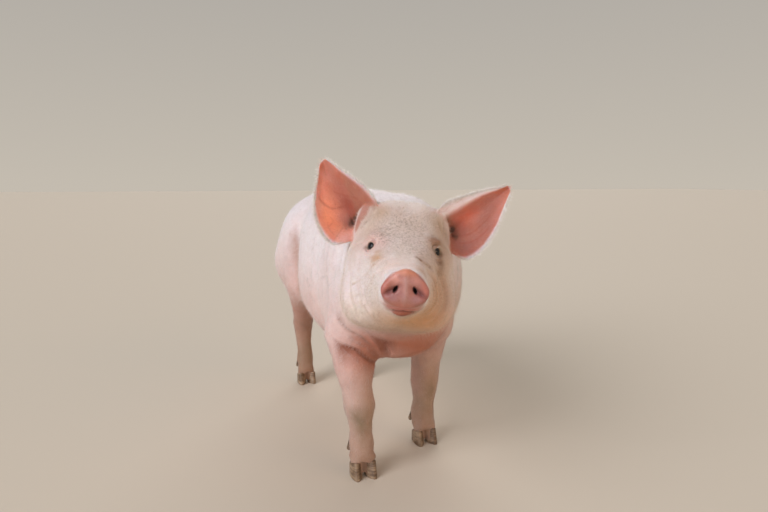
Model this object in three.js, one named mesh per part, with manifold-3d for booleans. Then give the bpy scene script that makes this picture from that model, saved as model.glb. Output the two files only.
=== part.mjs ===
// A young white pig, life size. It stands on all four feet with the left forefoot a little behind
// the right one, and its head is lifted and turned to its right. Millimetres, +Z up. The trunk
// runs along Y with the head towards -Y, so the pig's left side is +X.
//
// All the flesh is one smooth field, the blend of a trunk, a neck, a head and four limbs. The
// field is wrapped in facets, finer where the shape is finer, and parted by thin plane cuts.
import * as THREE from "three";
import { mergeVertices } from "three/addons/utils/BufferGeometryUtils.js";
import Module from "manifold-3d";

const wasm = await Module();
wasm.setup();

const vector = (x, y, z) => new THREE.Vector3(x, y, z);
const { degToRad, clamp, lerp, smoothstep } = THREE.MathUtils;

// ---------------------------------------------------------------- driving dimensions
const gap = 0.35; // left by every thin cut
const shellGap = 1.2; // left about the facets of the flesh where horn, ears or tail rise from it

// Grid sizes of the facets, longer along each piece.
const facet = {
  trunk: vector(37, 58, 37),
  neck: vector(26, 38, 26),
  head: vector(20, 17.2, 18),
  snout: vector(11.5, 11.3, 10.9),
  limb: vector(17.2, 17.5, 33),
};

// Trunk cross-sections from the rump forwards: heights above the floor, and where it is widest.
const trunkSections = [
  { at: 342, top: 532, bottom: 402, halfWidth: 62, waist: 470 },
  { at: 318, top: 570, bottom: 370, halfWidth: 104, waist: 460 },
  { at: 268, top: 601, bottom: 334, halfWidth: 134, waist: 450 },
  { at: 190, top: 614, bottom: 292, halfWidth: 144, waist: 435 },
  { at: 100, top: 619, bottom: 250, halfWidth: 151, waist: 412 },
  { at: 0, top: 620, bottom: 230, halfWidth: 158, waist: 396 },
  { at: -110, top: 618, bottom: 225, halfWidth: 161, waist: 386 },
  { at: -220, top: 614, bottom: 231, halfWidth: 154, waist: 386 },
  { at: -310, top: 610, bottom: 245, halfWidth: 136, waist: 398 },
  { at: -380, top: 602, bottom: 262, halfWidth: 116, waist: 418 },
  { at: -440, top: 588, bottom: 312, halfWidth: 88, waist: 440 },
];
const trunkSquareness = 2.5;
const spineBend = { straightAt: -50, reach: 330, shoulders: 5, rump: 14 }; // towards the right

// The head in its own frame: x along the mouth to the snout, y to the pig's left, z up, from the
// point midway between the eyes.
const headPlace = vector(-95, -627, 525);
const headYaw = 18.1; // degrees to the pig's right
const headPitch = 7.1; // nose up
const headRoll = 5.1; // left side down
const headSections = [
  { at: -160, top: 78, bottom: -150, halfWidth: 88, waist: -52 },
  { at: -120, top: 87, bottom: -151, halfWidth: 92, waist: -58 },
  { at: -85, top: 90, bottom: -150, halfWidth: 94, waist: -62 },
  { at: -50, top: 71, bottom: -145, halfWidth: 90, waist: -58 },
  { at: -20, top: 43, bottom: -136, halfWidth: 80, waist: -50 },
  { at: 10, top: 22, bottom: -125, halfWidth: 68, waist: -44 },
  { at: 45, top: 3.5, bottom: -117, halfWidth: 55, waist: -48 },
  { at: 80, top: -12, bottom: -107, halfWidth: 44, waist: -54 },
  { at: 115, top: -22, bottom: -98, halfWidth: 37, waist: -58 },
  { at: 158, top: -34, bottom: -88, halfWidth: 32, waist: -60 },
];
const headSquareness = 2.5;
const headLength = { back: -104, snoutCut: 140, tip: 172 };
const snout = {
  height: -61, halfWidth: 35, halfHeight: 27.5, narrowing: 0.34, depth: 15, rounding: 5, lean: 3,
};
const nostril = { side: 14, height: -62, radius: 5.2, depth: 17, splay: 14 };
const eye = { at: vector(3, 50.5, -1.5), radius: 11.5 };
const chinTip = vector(143, 0, -91);
const mouthCorner = vector(84, 0, -87);

// Each ear as drawn flat: u from its base to its tip, v across. The lower edge makes a broad lobe.
const earOutline = {
  right: {
    lower: [[-22, -30], [-14, -50], [-2, -72], [26, -77], [58, -70], [88, -51], [115, -25], [140, 1]],
    upper: [[-12, 24], [8, 36], [29, 39], [52, 36], [79, 28], [102, 19], [123, 12], [140, 1]],
  },
  left: {
    lower: [[-22, -30], [-12, -54], [2, -73], [32, -75], [64, -65], [96, -47], [124, -28], [149, -8]],
    upper: [[-12, 22], [8, 33], [28, 35], [50, 30], [74, 23], [98, 15], [124, 4], [149, -8]],
  },
};
const earThickness = 5.2;
const earCup = 24; // how far the middle lies behind the edges near the base
const earPlace = vector(-78, 73, 47);
const earRise = { right: 49.5, left: 39.5 }; // degrees above the side of the head

// The tail leaves the rump and makes one curl that drifts to the left.
const tail = {
  root: vector(0, 318, 546),
  curl: { centreY: 386, centreZ: 524, radius: 24, turns: 1.2, drift: 36 },
  rootRadius: 15, tipRadius: 4.5, steps: 22, sides: 7,
};

// Where the feet stand.
const foreFoot = { right: vector(-98, -380, 0), left: vector(95, -264, 0) };
const hindFoot = { right: vector(-92, 268, 0), left: vector(88, 256, 0) };

// The joints of a limb and the flesh about them. The upper ones are measured outwards from the
// spine, and follow a foot set back from a square stance by a share; the lower ones are measured
// from the foot.
const foreLeg = {
  stance: -322,
  blade: { out: 68, along: -292, up: 500, follow: 0.05, radius: 64 },
  shoulder: { out: 77, along: -368, up: 392, follow: 0.25, radius: 57 },
  elbow: { out: 108, along: -306, up: 312, follow: 0.4, radius: 52 },
  forearm: { out: 14, along: 10, up: 238, radius: 39 },
  knee: { out: 3, along: 4, up: 152, radius: 31 },
  fetlock: { out: 0, along: 5, up: 74, radius: 27 },
  toe: { out: 0, along: -10, up: 30, radius: 28.5 },
};
const hindLeg = {
  stance: 262,
  hip: { out: 70, along: 190, up: 488, follow: 0, radius: 84 },
  thigh: { out: 84, along: 246, up: 384, follow: 0, radius: 80 },
  stifle: { out: 104, along: 172, up: 338, follow: 0, radius: 52 },
  rump: { out: 72, along: 262, up: 440, follow: 0, radius: 84 },
  ham: { out: 90, along: 258, up: 345, follow: 0, radius: 54 },
  tendon: { out: 4, along: 20, up: 264, radius: 25 },
  heel: { out: 2, along: 46, up: 213, radius: 18 },
  hock: { out: 2, along: 24, up: 186, radius: 27 },
  fetlock: { out: 0, along: 11, up: 74, radius: 24.5 },
  toe: { out: 0, along: -8, up: 30, radius: 27 },
};
const kneeRadii = vector(32, 33, 36);
const rumpRadii = vector(82, 84, 112);

const coronet = { toe: 38, heel: 22 }; // height of the top of a hoof
const claw = { centre: -10, length: 56, width: 27.5, toeSlope: 18, between: 2.4, levels: [0, 12, 45] };
const dewclaw = {
  top: vector(15, 22, 68), tip: vector(19, 41, 42), rootRadius: 9.5, tipRadius: 5.5, sides: 7,
};

// ---------------------------------------------------------------- field shapes
// Each gives about the distance from a point to a surface, negative inside.
function blend(a, b, softness) {
  const h = Math.max(softness - Math.abs(a - b), 0) / softness;
  return Math.min(a, b) - (h * h * softness) / 4;
}
const hollow = (a, b, softness) => -blend(-a, b, softness);

// A tube through named cross-sections, each a rounded box that is widest at its waist.
function sectionTube(sections, squareness) {
  const rows = [...sections].sort((a, b) => a.at - b.at);
  const shape = new THREE.CubicInterpolant(
    rows.map((row) => row.at),
    rows.flatMap((row) => [row.top, row.bottom, row.halfWidth, row.waist]),
    4,
    new Array(4),
  );
  const first = rows[0].at;
  const last = rows.at(-1).at;
  return (side, along, up) => {
    const [top, bottom, halfWidth, waist] = shape.evaluate(clamp(along, first, last));
    const reach = up > waist ? top - waist : waist - bottom;
    const share = Math.pow(
      Math.pow(Math.abs(side) / halfWidth, squareness) + Math.pow(Math.abs(up - waist) / reach, squareness),
      1 / squareness,
    );
    const across = (share - 1) * Math.min(halfWidth, reach);
    const past = Math.max(first - along, along - last);
    if (past <= 0) return across;
    return across > 0 ? Math.hypot(across, past) : Math.max(across, past);
  };
}

function ellipsoid(centre, radii) {
  return (p) => {
    const x = p.x - centre.x;
    const y = p.y - centre.y;
    const z = p.z - centre.z;
    const near = Math.hypot(x / radii.x, y / radii.y, z / radii.z);
    const slope = Math.hypot(x / radii.x ** 2, y / radii.y ** 2, z / radii.z ** 2);
    return slope > 0 ? (near * (near - 1)) / slope : -Math.min(radii.x, radii.y, radii.z);
  };
}

// A cone with round ends, for the flesh along a bone.
function cone(a, b, radiusA, radiusB) {
  const axis = b.clone().sub(a);
  const lengthSquared = axis.lengthSq();
  const from = vector(0, 0, 0);
  return (p) => {
    const t = clamp(from.copy(p).sub(a).dot(axis) / lengthSquared, 0, 1);
    return from.copy(a).addScaledVector(axis, t).distanceTo(p) - lerp(radiusA, radiusB, t);
  };
}

// ---------------------------------------------------------------- head
const headFrame = new THREE.Matrix4()
  .makeTranslation(headPlace)
  .multiply(new THREE.Matrix4().makeRotationZ(degToRad(-90 - headYaw)))
  .multiply(new THREE.Matrix4().makeRotationY(degToRad(-headPitch)))
  .multiply(new THREE.Matrix4().makeRotationX(degToRad(-headRoll)));
const toHead = headFrame.clone().invert();

const headTube = sectionTube(headSections, headSquareness);
const chin = cone(vector(-30, 0, -98), chinTip, 40, 12.5);
const cheekbone = ellipsoid(vector(-42, 58, -20), vector(46, 28, 24));
const jowl = ellipsoid(vector(-72, 54, -90), vector(60, 46, 52));
const brow = ellipsoid(vector(-12, 47, 15), vector(24, 14, 9));
const socket = ellipsoid(vector(14, 62, -1), vector(14, 9, 9));
const earRoot = ellipsoid(vector(-86, 66, 50), vector(26, 24, 36));
const lip = ellipsoid(vector(112, 24, -78), vector(46, 13, 15));

function snoutDisc(p) {
  const forward = p.x - (p.z - snout.height) * Math.tan(degToRad(snout.lean));
  const up = (p.z - snout.height) / snout.halfHeight;
  const halfWidth = snout.halfWidth * (1 - snout.narrowing * Math.pow(clamp(up, 0, 1), 1.3));
  const share = Math.hypot(p.y / halfWidth, up);
  const across = (share - 1) * snout.halfHeight + snout.rounding;
  const along = Math.abs(forward - headLength.tip + snout.depth / 2) - snout.depth / 2 + snout.rounding;
  return Math.hypot(Math.max(across, 0), Math.max(along, 0)) + Math.min(Math.max(across, along), 0) - snout.rounding;
}

// The right and left halves are alike, so y is folded over to the left.
function headField(p) {
  const q = vector(p.x, Math.abs(p.y), p.z);
  let d = headTube(p.y, p.x, p.z);
  d = blend(d, cheekbone(q), 20);
  d = blend(d, jowl(q), 30);
  d = blend(d, brow(q), 12);
  d = blend(d, earRoot(q), 16);
  d = blend(d, lip(q), 10);
  d = blend(d, chin(q), 16);
  d = blend(d, snoutDisc(q), 7);
  return hollow(d, socket(q), 8);
}

// ---------------------------------------------------------------- neck, trunk and limbs
function spineX(y) {
  const share = (y - spineBend.straightAt) / spineBend.reach;
  return -(share < 0 ? spineBend.shoulders : spineBend.rump) * share * share;
}
const trunkTube = sectionTube(trunkSections, trunkSquareness);
const bodyPoint = (x, y, z) => vector(x + spineX(y), y, z);

const neck = [
  cone(bodyPoint(-6, -360, 455), vector(-66, -515, 494), 132, 86),
  cone(bodyPoint(-6, -395, 385), vector(-70, -520, 446), 90, 78),
];
const breast = ellipsoid(bodyPoint(0, -395, 335), vector(78, 60, 66));

// Finds a joint's place over a foot.
function jointPlaces(leg, foot) {
  const side = Math.sign(foot.x);
  const back = foot.y - leg.stance;
  return ({ out, along, up, follow }) => {
    if (follow === undefined) return vector(foot.x + side * out, foot.y + along, up);
    return bodyPoint(side * out, along + follow * back, up);
  };
}

function foreLimb(foot) {
  const place = jointPlaces(foreLeg, foot);
  const bone = (a, b) => cone(place(a), place(b), a.radius, b.radius);
  const { blade, shoulder, elbow, forearm, knee, fetlock, toe } = foreLeg;
  return {
    upper: [bone(blade, shoulder), bone(shoulder, elbow)],
    lower: [bone(elbow, forearm), bone(forearm, knee), ellipsoid(place(knee), kneeRadii),
      bone({ ...knee, radius: fetlock.radius }, fetlock), bone(fetlock, toe)],
  };
}

function hindLimb(foot) {
  const place = jointPlaces(hindLeg, foot);
  const bone = (a, b) => cone(place(a), place(b), a.radius, b.radius);
  const { hip, thigh, stifle, rump, ham, tendon, heel, hock, fetlock, toe } = hindLeg;
  return {
    upper: [bone(hip, thigh), ellipsoid(place(rump), rumpRadii), bone(thigh, stifle)],
    lower: [bone(ham, tendon), bone(tendon, heel), bone(stifle, hock), bone(heel, hock),
      bone(hock, fetlock), bone(fetlock, toe)],
  };
}

const limbs = {
  foreleg_right: foreLimb(foreFoot.right),
  foreleg_left: foreLimb(foreFoot.left),
  hindleg_right: hindLimb(hindFoot.right),
  hindleg_left: hindLimb(hindFoot.left),
};

function flesh(p) {
  let d = trunkTube(p.x - spineX(p.y), p.y, p.z);
  for (const limb of Object.values(limbs)) {
    const upper = limb.upper.reduce((sum, piece) => blend(sum, piece(p), 30), Infinity);
    const lower = limb.lower.reduce((sum, piece) => blend(sum, piece(p), 14), Infinity);
    d = blend(d, blend(upper, lower, 24), 32);
  }
  d = blend(d, breast(p), 40);
  for (const piece of neck) d = blend(d, piece(p), 50);
  return blend(d, headField(p.clone().applyMatrix4(toHead)), 34);
}

// ---------------------------------------------------------------- solids
function solidOf(geometry) {
  const bare = geometry.clone();
  bare.deleteAttribute("normal");
  bare.deleteAttribute("uv");
  const merged = mergeVertices(bare, 1e-3);
  return new wasm.Manifold(
    new wasm.Mesh({
      numProp: 3,
      vertProperties: new Float32Array(merged.attributes.position.array),
      triVerts: new Uint32Array(merged.index.array),
    }),
  );
}

function geometryOf(solid) {
  const mesh = solid.getMesh();
  return new THREE.BufferGeometry()
    .setAttribute("position", new THREE.BufferAttribute(mesh.vertProperties, 3))
    .setIndex(new THREE.BufferAttribute(mesh.triVerts, 1));
}

// Wraps a field in facets: in each grid cell, one vertex for each patch of surface that crosses it,
// first at the middle of the patch's crossings with the cell's edges and then drawn onto the
// surface, and one quad across each crossed grid edge.
const corners = Array.from({ length: 8 }, (_, c) => [c & 1, (c >> 1) & 1, c >> 2]);
const edges = corners.flatMap((_, c) => [1, 2, 4].filter((bit) => !(c & bit)).map((bit) => [c, c | bit]));
const faces = [0, 1, 2].flatMap((axis) =>
  [0, 1].map((end) => edges.map((_, e) => e).filter((e) => edges[e].every((c) => corners[c][axis] === end))),
);
const edgeNumber = (a, b) => edges.findIndex((edge) => edge[0] === a && edge[1] === b);

// Which patch each crossed edge of a cell belongs to. Two crossings on one face are one patch's, and
// of four, the two beside the same inner corner are.
function patches(inner) {
  const crossed = edges.map(([a, b]) => inner[a] !== inner[b]);
  let patch = edges.map((_, e) => e);
  const join = (a, b) => (patch = patch.map((value) => (value === patch[b] ? patch[a] : value)));
  for (const face of faces) {
    const cuts = face.filter((e) => crossed[e]);
    cuts.forEach((a, i) => {
      for (const b of cuts.slice(i + 1)) {
        const shared = edges[a].find((c) => edges[b].includes(c));
        if (cuts.length === 2 || (shared !== undefined && inner[shared])) join(a, b);
      }
    });
  }
  return patch.map((value, e) => (crossed[e] ? value : -1));
}

// Moves a point along the field's slope until it is on the surface.
function settle(field, point, furthest) {
  const start = point.clone();
  for (let step = 0; step < 3; step++) {
    const d = field(point);
    const slope = vector(
      field(point.clone().add(vector(1, 0, 0))) - d,
      field(point.clone().add(vector(0, 1, 0))) - d,
      field(point.clone().add(vector(0, 0, 1))) - d,
    );
    point.addScaledVector(slope, -d / Math.max(slope.lengthSq(), 0.1));
  }
  return point.distanceTo(start) < furthest ? point : start;
}

function wrap(field, low, high, cell) {
  const count = high.clone().sub(low).divide(cell).ceil().addScalar(1);
  const [nx, ny, nz] = count.toArray();
  const number = (i, j, k) => i + nx * (j + ny * k);
  const node = (i, j, k) => vector(i, j, k).multiply(cell).add(low);
  const value = new Float64Array(nx * ny * nz);
  for (let k = 0; k < nz; k++) {
    for (let j = 0; j < ny; j++) {
      for (let i = 0; i < nx; i++) {
        const rim = i * j * k === 0 || i === nx - 1 || j === ny - 1 || k === nz - 1;
        const d = field(node(i, j, k));
        value[number(i, j, k)] = rim ? Math.max(d, cell.x / 4) : d;
      }
    }
  }
  const inside = (i, j, k) => value[number(i, j, k)] < 0;
  const positions = [];
  const triangles = [];
  const made = new Map();
  function makeVertices(i, j, k) {
    const values = corners.map(([a, b, c]) => value[number(i + a, j + b, k + c)]);
    const places = corners.map(([a, b, c]) => node(i + a, j + b, k + c));
    const patch = patches(values.map((v) => v < 0));
    const vertexOf = new Map();
    for (const id of new Set(patch.filter((v) => v >= 0))) {
      const crossings = edges
        .filter((_, e) => patch[e] === id)
        .map(([a, b]) => places[a].clone().lerp(places[b], values[a] / (values[a] - values[b])));
      const middle = crossings.reduce((sum, p) => sum.add(p), vector(0, 0, 0)).divideScalar(crossings.length);
      const atRim = i * j * k === 0 || i === nx - 2 || j === ny - 2 || k === nz - 2;
      vertexOf.set(id, positions.length / 3);
      positions.push(...(atRim ? middle : settle(field, middle, cell.x / 3)).toArray());
    }
    return patch.map((id) => vertexOf.get(id));
  }
  // The vertex of cell i, j, k for its edge between two of its corners.
  function vertex(i, j, k, a, b) {
    const key = number(i, j, k);
    if (!made.has(key)) made.set(key, makeVertices(i, j, k));
    return made.get(key)[edgeNumber(a, b)];
  }
  // The quad is split along its shorter diagonal.
  function quad(turned, ring) {
    const [a, b, c, d] = turned ? ring.reverse() : ring;
    const at = (v) => vector(...positions.slice(3 * v, 3 * v + 3));
    if (at(a).distanceTo(at(c)) < at(b).distanceTo(at(d))) triangles.push(a, b, c, a, c, d);
    else triangles.push(a, b, d, b, c, d);
  }
  for (let k = 0; k < nz - 1; k++) {
    for (let j = 0; j < ny - 1; j++) {
      for (let i = 0; i < nx - 1; i++) {
        const here = inside(i, j, k);
        if (here !== inside(i + 1, j, k)) {
          const ring = [vertex(i, j - 1, k - 1, 6, 7), vertex(i, j, k - 1, 4, 5)];
          quad(!here, [...ring, vertex(i, j, k, 0, 1), vertex(i, j - 1, k, 2, 3)]);
        }
        if (here !== inside(i, j + 1, k)) {
          const ring = [vertex(i - 1, j, k - 1, 5, 7), vertex(i - 1, j, k, 1, 3)];
          quad(!here, [...ring, vertex(i, j, k, 0, 2), vertex(i, j, k - 1, 4, 6)]);
        }
        if (here !== inside(i, j, k + 1)) {
          const ring = [vertex(i - 1, j - 1, k, 3, 7), vertex(i, j - 1, k, 2, 6)];
          quad(!here, [...ring, vertex(i, j, k, 0, 4), vertex(i - 1, j, k, 1, 5)]);
        }
      }
    }
  }
  return new wasm.Manifold(
    new wasm.Mesh({
      numProp: 3,
      vertProperties: new Float32Array(positions),
      triVerts: new Uint32Array(triangles),
    }),
  );
}

// A closed skin over rings of points, the same number in each, run from first to last.
function loft(rings) {
  const size = rings[0].length;
  const points = rings.flat();
  const centre = (ring) => ring.reduce((sum, p) => sum.add(p), vector(0, 0, 0)).divideScalar(size);
  const first = points.push(centre(rings[0])) - 1;
  const last = points.push(centre(rings.at(-1))) - 1;
  const index = [];
  const end = (rings.length - 1) * size;
  for (let i = 0; i < size; i++) {
    const next = (i + 1) % size;
    for (let r = 0; r < end; r += size) {
      index.push(r + i, r + next, r + size + i, r + next, r + size + next, r + size + i);
    }
    index.push(first, next, i, last, end + i, end + next);
  }
  const turned = (list) => list.map((_, i) => list[i - (i % 3) + 2 - (i % 3)]);
  const skin = (list) => solidOf(new THREE.BufferGeometry().setFromPoints(points).setIndex(list));
  return skin(index).volume() > 0 ? skin(index) : skin(turned(index));
}

// A prism with its outline in x and z, from one y to another.
function prism(outline, fromY, toY) {
  const shape = new THREE.Shape(outline.map(([x, z]) => new THREE.Vector2(x, z)));
  const block = new THREE.ExtrudeGeometry(shape, { depth: toY - fromY, bevelEnabled: false });
  return solidOf(block.rotateX(Math.PI / 2).translate(0, toY, 0));
}

// All that lies ahead of a plane through a point.
function ahead(point, direction, size = 1600) {
  const block = new THREE.BoxGeometry(size, size, size).translate(0, 0, size / 2);
  const turn = new THREE.Quaternion().setFromUnitVectors(vector(0, 0, 1), direction.clone().normalize());
  return solidOf(block.applyQuaternion(turn).translate(point.x, point.y, point.z));
}

const largest = (solid) => solid.decompose().sort((a, b) => b.volume() - a.volume())[0];

// ---------------------------------------------------------------- meshes
const pig = new THREE.Group();
const headGroup = new THREE.Group();
headGroup.applyMatrix4(headFrame);
pig.add(headGroup);

const skinPink = new THREE.MeshStandardMaterial({ color: 0xe9c3b4, roughness: 0.75 });
const earPink = new THREE.MeshStandardMaterial({ color: 0xd98d78, roughness: 0.7 });
const snoutPink = new THREE.MeshStandardMaterial({ color: 0xcf7f76, roughness: 0.5 });
const eyeDark = new THREE.MeshStandardMaterial({ color: 0x1d2229, roughness: 0.1 });
const hornTan = new THREE.MeshStandardMaterial({ color: 0xa08563, roughness: 0.6 });

function addMesh(group, name, solid, material) {
  const mesh = new THREE.Mesh(geometryOf(largest(solid)), material.clone());
  mesh.name = name;
  group.add(mesh);
  return mesh;
}

// The head, in its own frame.
const headFlesh = (p) => flesh(p.clone().applyMatrix4(headFrame));
const headLow = vector(headLength.back - 26, -135, -185);
const headHigh = vector(snout.depth + headLength.tip, 135, 125);
const wholeHead = wrap(headFlesh, headLow, headHigh, facet.head);
const snoutBlock = wrap(headFlesh, vector(headLength.snoutCut - 20, -52, -125), headHigh, facet.snout);
const neckFace = vector(headLength.back, 0, 0);
const forwards = vector(1, 0, 0);

const jawOutline = (lift) => [
  [headLength.tip + 30, mouthCorner.z - 4 - lift],
  [mouthCorner.x + 30, mouthCorner.z - 3 - lift],
  [mouthCorner.x, mouthCorner.z - lift],
  [mouthCorner.x - 45 + lift, mouthCorner.z - 22 - lift],
  [mouthCorner.x - 90 + lift, mouthCorner.z - 130],
  [headLength.tip + 30, mouthCorner.z - 130],
];
const jawCut = prism(jawOutline(0), -200, 200);
const jawBlock = prism(jawOutline(gap), -200, 200);
const snoutAhead = (x) => ahead(vector(x, 0, 0), forwards);

let head = wholeHead.intersect(ahead(neckFace, forwards)).subtract(jawCut);
head = head.subtract(snoutAhead(headLength.snoutCut));
for (const side of [-1, 1]) {
  const place = vector(eye.at.x, side * eye.at.y, eye.at.z);
  const ball = new THREE.SphereGeometry(eye.radius + gap, 12, 8);
  head = head.subtract(solidOf(ball.translate(place.x, place.y, place.z)));
  const name = side < 0 ? "eye_right" : "eye_left";
  const mesh = addMesh(headGroup, name, solidOf(new THREE.SphereGeometry(eye.radius, 12, 8)), eyeDark);
  mesh.position.copy(place);
}
addMesh(headGroup, "head", head, skinPink);
addMesh(headGroup, "lower_jaw", wholeHead.intersect(jawBlock).intersect(ahead(neckFace, forwards)), skinPink);

let snoutSolid = snoutBlock.intersect(snoutAhead(headLength.snoutCut + gap)).subtract(jawCut);
for (const side of [-1, 1]) {
  const pit = new THREE.CylinderGeometry(nostril.radius, nostril.radius * 0.6, nostril.depth, 10);
  pit.rotateZ(-Math.PI / 2).rotateZ(degToRad(side * nostril.splay));
  pit.translate(headLength.tip - nostril.depth / 2 + 3, side * nostril.side, nostril.height);
  snoutSolid = snoutSolid.subtract(solidOf(pit));
}
addMesh(headGroup, "snout", snoutSolid, snoutPink);

// An ear: a cupped leaf that opens forwards, in the head's frame.
const headShell = wrap((p) => headFlesh(p) - shellGap, headLow, headHigh, facet.head);
const earRows = 9;
const earColumns = 6;
function earSolid(name, side) {
  const edge = (points) => new THREE.SplineCurve(points.map(([u, v]) => new THREE.Vector2(u, v)));
  const lower = edge(earOutline[name].lower);
  const upper = edge(earOutline[name].upper);
  const turn = degToRad(earRise[name]);
  function place(t, s, lift) {
    const flat = lower.getPoint(t).lerp(upper.getPoint(t), s);
    const arch = 1 - (2 * s - 1) ** 2;
    const back = earCup * (1 - 0.75 * t) * arch + 10 * t * t;
    const curl = 14 * smoothstep(s, 0.7, 1) * (1 - t);
    const y = flat.x * Math.cos(turn) - flat.y * Math.sin(turn);
    const z = flat.x * Math.sin(turn) + flat.y * Math.cos(turn);
    return vector(earPlace.x - back + curl + lift, side * (earPlace.y + y), earPlace.z + z);
  }
  const rings = [];
  for (let r = 0; r <= earRows; r++) {
    const t = (r / earRows) * 0.97;
    const thick = earThickness * (1 - 0.55 * t);
    const ring = [];
    for (let c = 0; c <= earColumns; c++) ring.push(place(t, c / earColumns, thick / 2));
    for (let c = earColumns; c >= 0; c--) ring.push(place(t, c / earColumns, -thick / 2));
    rings.push(ring);
  }
  return loft(rings);
}
addMesh(headGroup, "ear_right", earSolid("right", -1).subtract(headShell), earPink);
addMesh(headGroup, "ear_left", earSolid("left", 1).subtract(headShell), earPink);

// Neck and trunk.
const neckBack = { point: vector(0, -402, 430), direction: vector(0.06, -1, -0.2) };
const headForward = forwards.clone().transformDirection(headFrame);
const neckFront = neckFace.clone().applyMatrix4(headFrame);
const shift = (point, direction, distance) => point.clone().addScaledVector(direction.clone().normalize(), distance);

const legOutlines = {
  fore: [[46, -20], [46, 262], [230, 432], [230, -20]],
  hind: [[40, -20], [40, 306], [84, 372], [240, 530], [240, -20]],
};
const legReach = { fore: [-500, -196], hind: [112, 440] };
const legBox = { fore: { front: -90, behind: 175, top: 440 }, hind: { front: -170, behind: 130, top: 540 } };
const legSide = 140; // well outside every leg
const wedge = (kind, side, shrink) =>
  prism(
    legOutlines[kind].map(([x, z]) => [side * (x + shrink), z - shrink]),
    legReach[kind][0] + shrink,
    legReach[kind][1] - shrink,
  );

let neckSolid = wrap(flesh, vector(-230, -600, 240), vector(170, -330, 660), facet.neck)
  .intersect(ahead(shift(neckBack.point, neckBack.direction, gap), neckBack.direction))
  .subtract(ahead(shift(neckFront, headForward, -gap), headForward));
for (const side of [-1, 1]) neckSolid = neckSolid.subtract(wedge("fore", side, 0));
addMesh(pig, "neck", neckSolid, skinPink);

const trunkLow = vector(-260, -520, 200);
const trunkHigh = vector(240, 400, 660);
const trunkShell = wrap((p) => flesh(p) - shellGap, trunkLow, trunkHigh, facet.trunk);
let trunk = wrap(flesh, trunkLow, trunkHigh, facet.trunk);
trunk = trunk.subtract(ahead(neckBack.point, neckBack.direction));
for (const side of [-1, 1]) trunk = trunk.subtract(wedge("fore", side, 0)).subtract(wedge("hind", side, 0));
addMesh(pig, "trunk", trunk, skinPink);

// The tail: a tapering rope in one open curl.
const curlPoints = Array.from({ length: 11 }, (_, i) => {
  const share = i / 10;
  const angle = (share * tail.curl.turns - 0.08) * 2 * Math.PI;
  const radius = tail.curl.radius * (1 - 0.2 * share);
  const y = tail.curl.centreY + radius * Math.sin(angle);
  return bodyPoint(tail.curl.drift * share, y, tail.curl.centreZ + radius * Math.cos(angle));
});
const tailPath = new THREE.CatmullRomCurve3([bodyPoint(...tail.root.toArray()), ...curlPoints]);
const frames = tailPath.computeFrenetFrames(tail.steps);
const tailRings = Array.from({ length: tail.steps + 1 }, (_, i) => {
  const t = i / tail.steps;
  const radius = lerp(tail.rootRadius, tail.tipRadius, Math.pow(t, 0.8));
  return Array.from({ length: tail.sides }, (_, k) => {
    const angle = (k / tail.sides) * 2 * Math.PI;
    const across = frames.normals[i].clone().multiplyScalar(Math.cos(angle) * radius);
    across.addScaledVector(frames.binormals[i], Math.sin(angle) * radius);
    return tailPath.getPointAt(t).add(across);
  });
});
addMesh(pig, "tail", loft(tailRings).subtract(trunkShell), skinPink);

// A leg is wrapped about its own foot, and its hooves are parted from it at the coronet.
function addLeg(name, kind, foot) {
  const side = Math.sign(foot.x);
  const group = new THREE.Group();
  group.position.copy(foot);
  pig.add(group);
  const local = (solid) => solid.translate(-foot.x, -foot.y, 0);
  const inner = side * legOutlines[kind][0][0] - foot.x;
  const { front, behind, top } = legBox[kind];
  const low = vector(Math.min(inner, side * legSide) - facet.limb.x, front, -facet.limb.x);
  const high = vector(Math.max(inner, side * legSide) + facet.limb.x, behind, top);
  const tilt = vector(0, coronet.toe - coronet.heel, claw.length).normalize();
  const hoofPlane = vector(0, 0, (coronet.toe + coronet.heel) / 2);
  const legFlesh = (p) => flesh(p.clone().add(foot));
  const legShell = wrap((p) => legFlesh(p) - shellGap, low, high, facet.limb);
  const leg = wrap(legFlesh, low, high, facet.limb)
    .intersect(local(wedge(kind, side, gap)))
    .intersect(ahead(shift(hoofPlane, tilt, gap), tilt));
  addMesh(group, name, leg, skinPink);

  const hoofLevel = ahead(hoofPlane, tilt);
  for (const half of [-1, 1]) {
    const rings = claw.levels.map((height) => clawRing(height, half));
    const where = half * side > 0 ? "outer" : "inner";
    const stem = name.replace("leg", "hoof");
    addMesh(group, `${stem}_${where}`, loft(rings).subtract(hoofLevel), hornTan);
    const dew = dewclawSolid(half).subtract(legShell);
    addMesh(group, `${stem.replace("hoof", "dewclaw")}_${where}`, dew, hornTan);
  }
}

// One claw's outline at a height: a half oval, straight beside the cleft, shorter higher up.
function clawRing(height, half) {
  const steps = 12;
  const lean = height * Math.tan(degToRad(claw.toeSlope));
  const ring = [];
  for (let i = 0; i < steps; i++) {
    const angle = ((i + 0.5) / steps) * 2 * Math.PI;
    const outwards = (0.5 - 0.5 * Math.cos(angle)) ** 0.6 * claw.width;
    const y = claw.centre - Math.sin(angle) * (claw.length / 2) + (Math.sin(angle) > 0 ? lean : 0);
    ring.push(vector(half * (claw.between / 2 + outwards), y, height));
  }
  return ring;
}

function dewclawSolid(half) {
  const top = vector(half * dewclaw.top.x, dewclaw.top.y, dewclaw.top.z);
  const along = vector(half * dewclaw.tip.x, dewclaw.tip.y, dewclaw.tip.z).sub(top);
  const horn = new THREE.CylinderGeometry(dewclaw.tipRadius, dewclaw.rootRadius, along.length(), dewclaw.sides);
  horn.translate(0, along.length() / 2, 0);
  horn.applyQuaternion(new THREE.Quaternion().setFromUnitVectors(vector(0, 1, 0), along.clone().normalize()));
  return solidOf(horn.translate(top.x, top.y, top.z));
}

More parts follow.
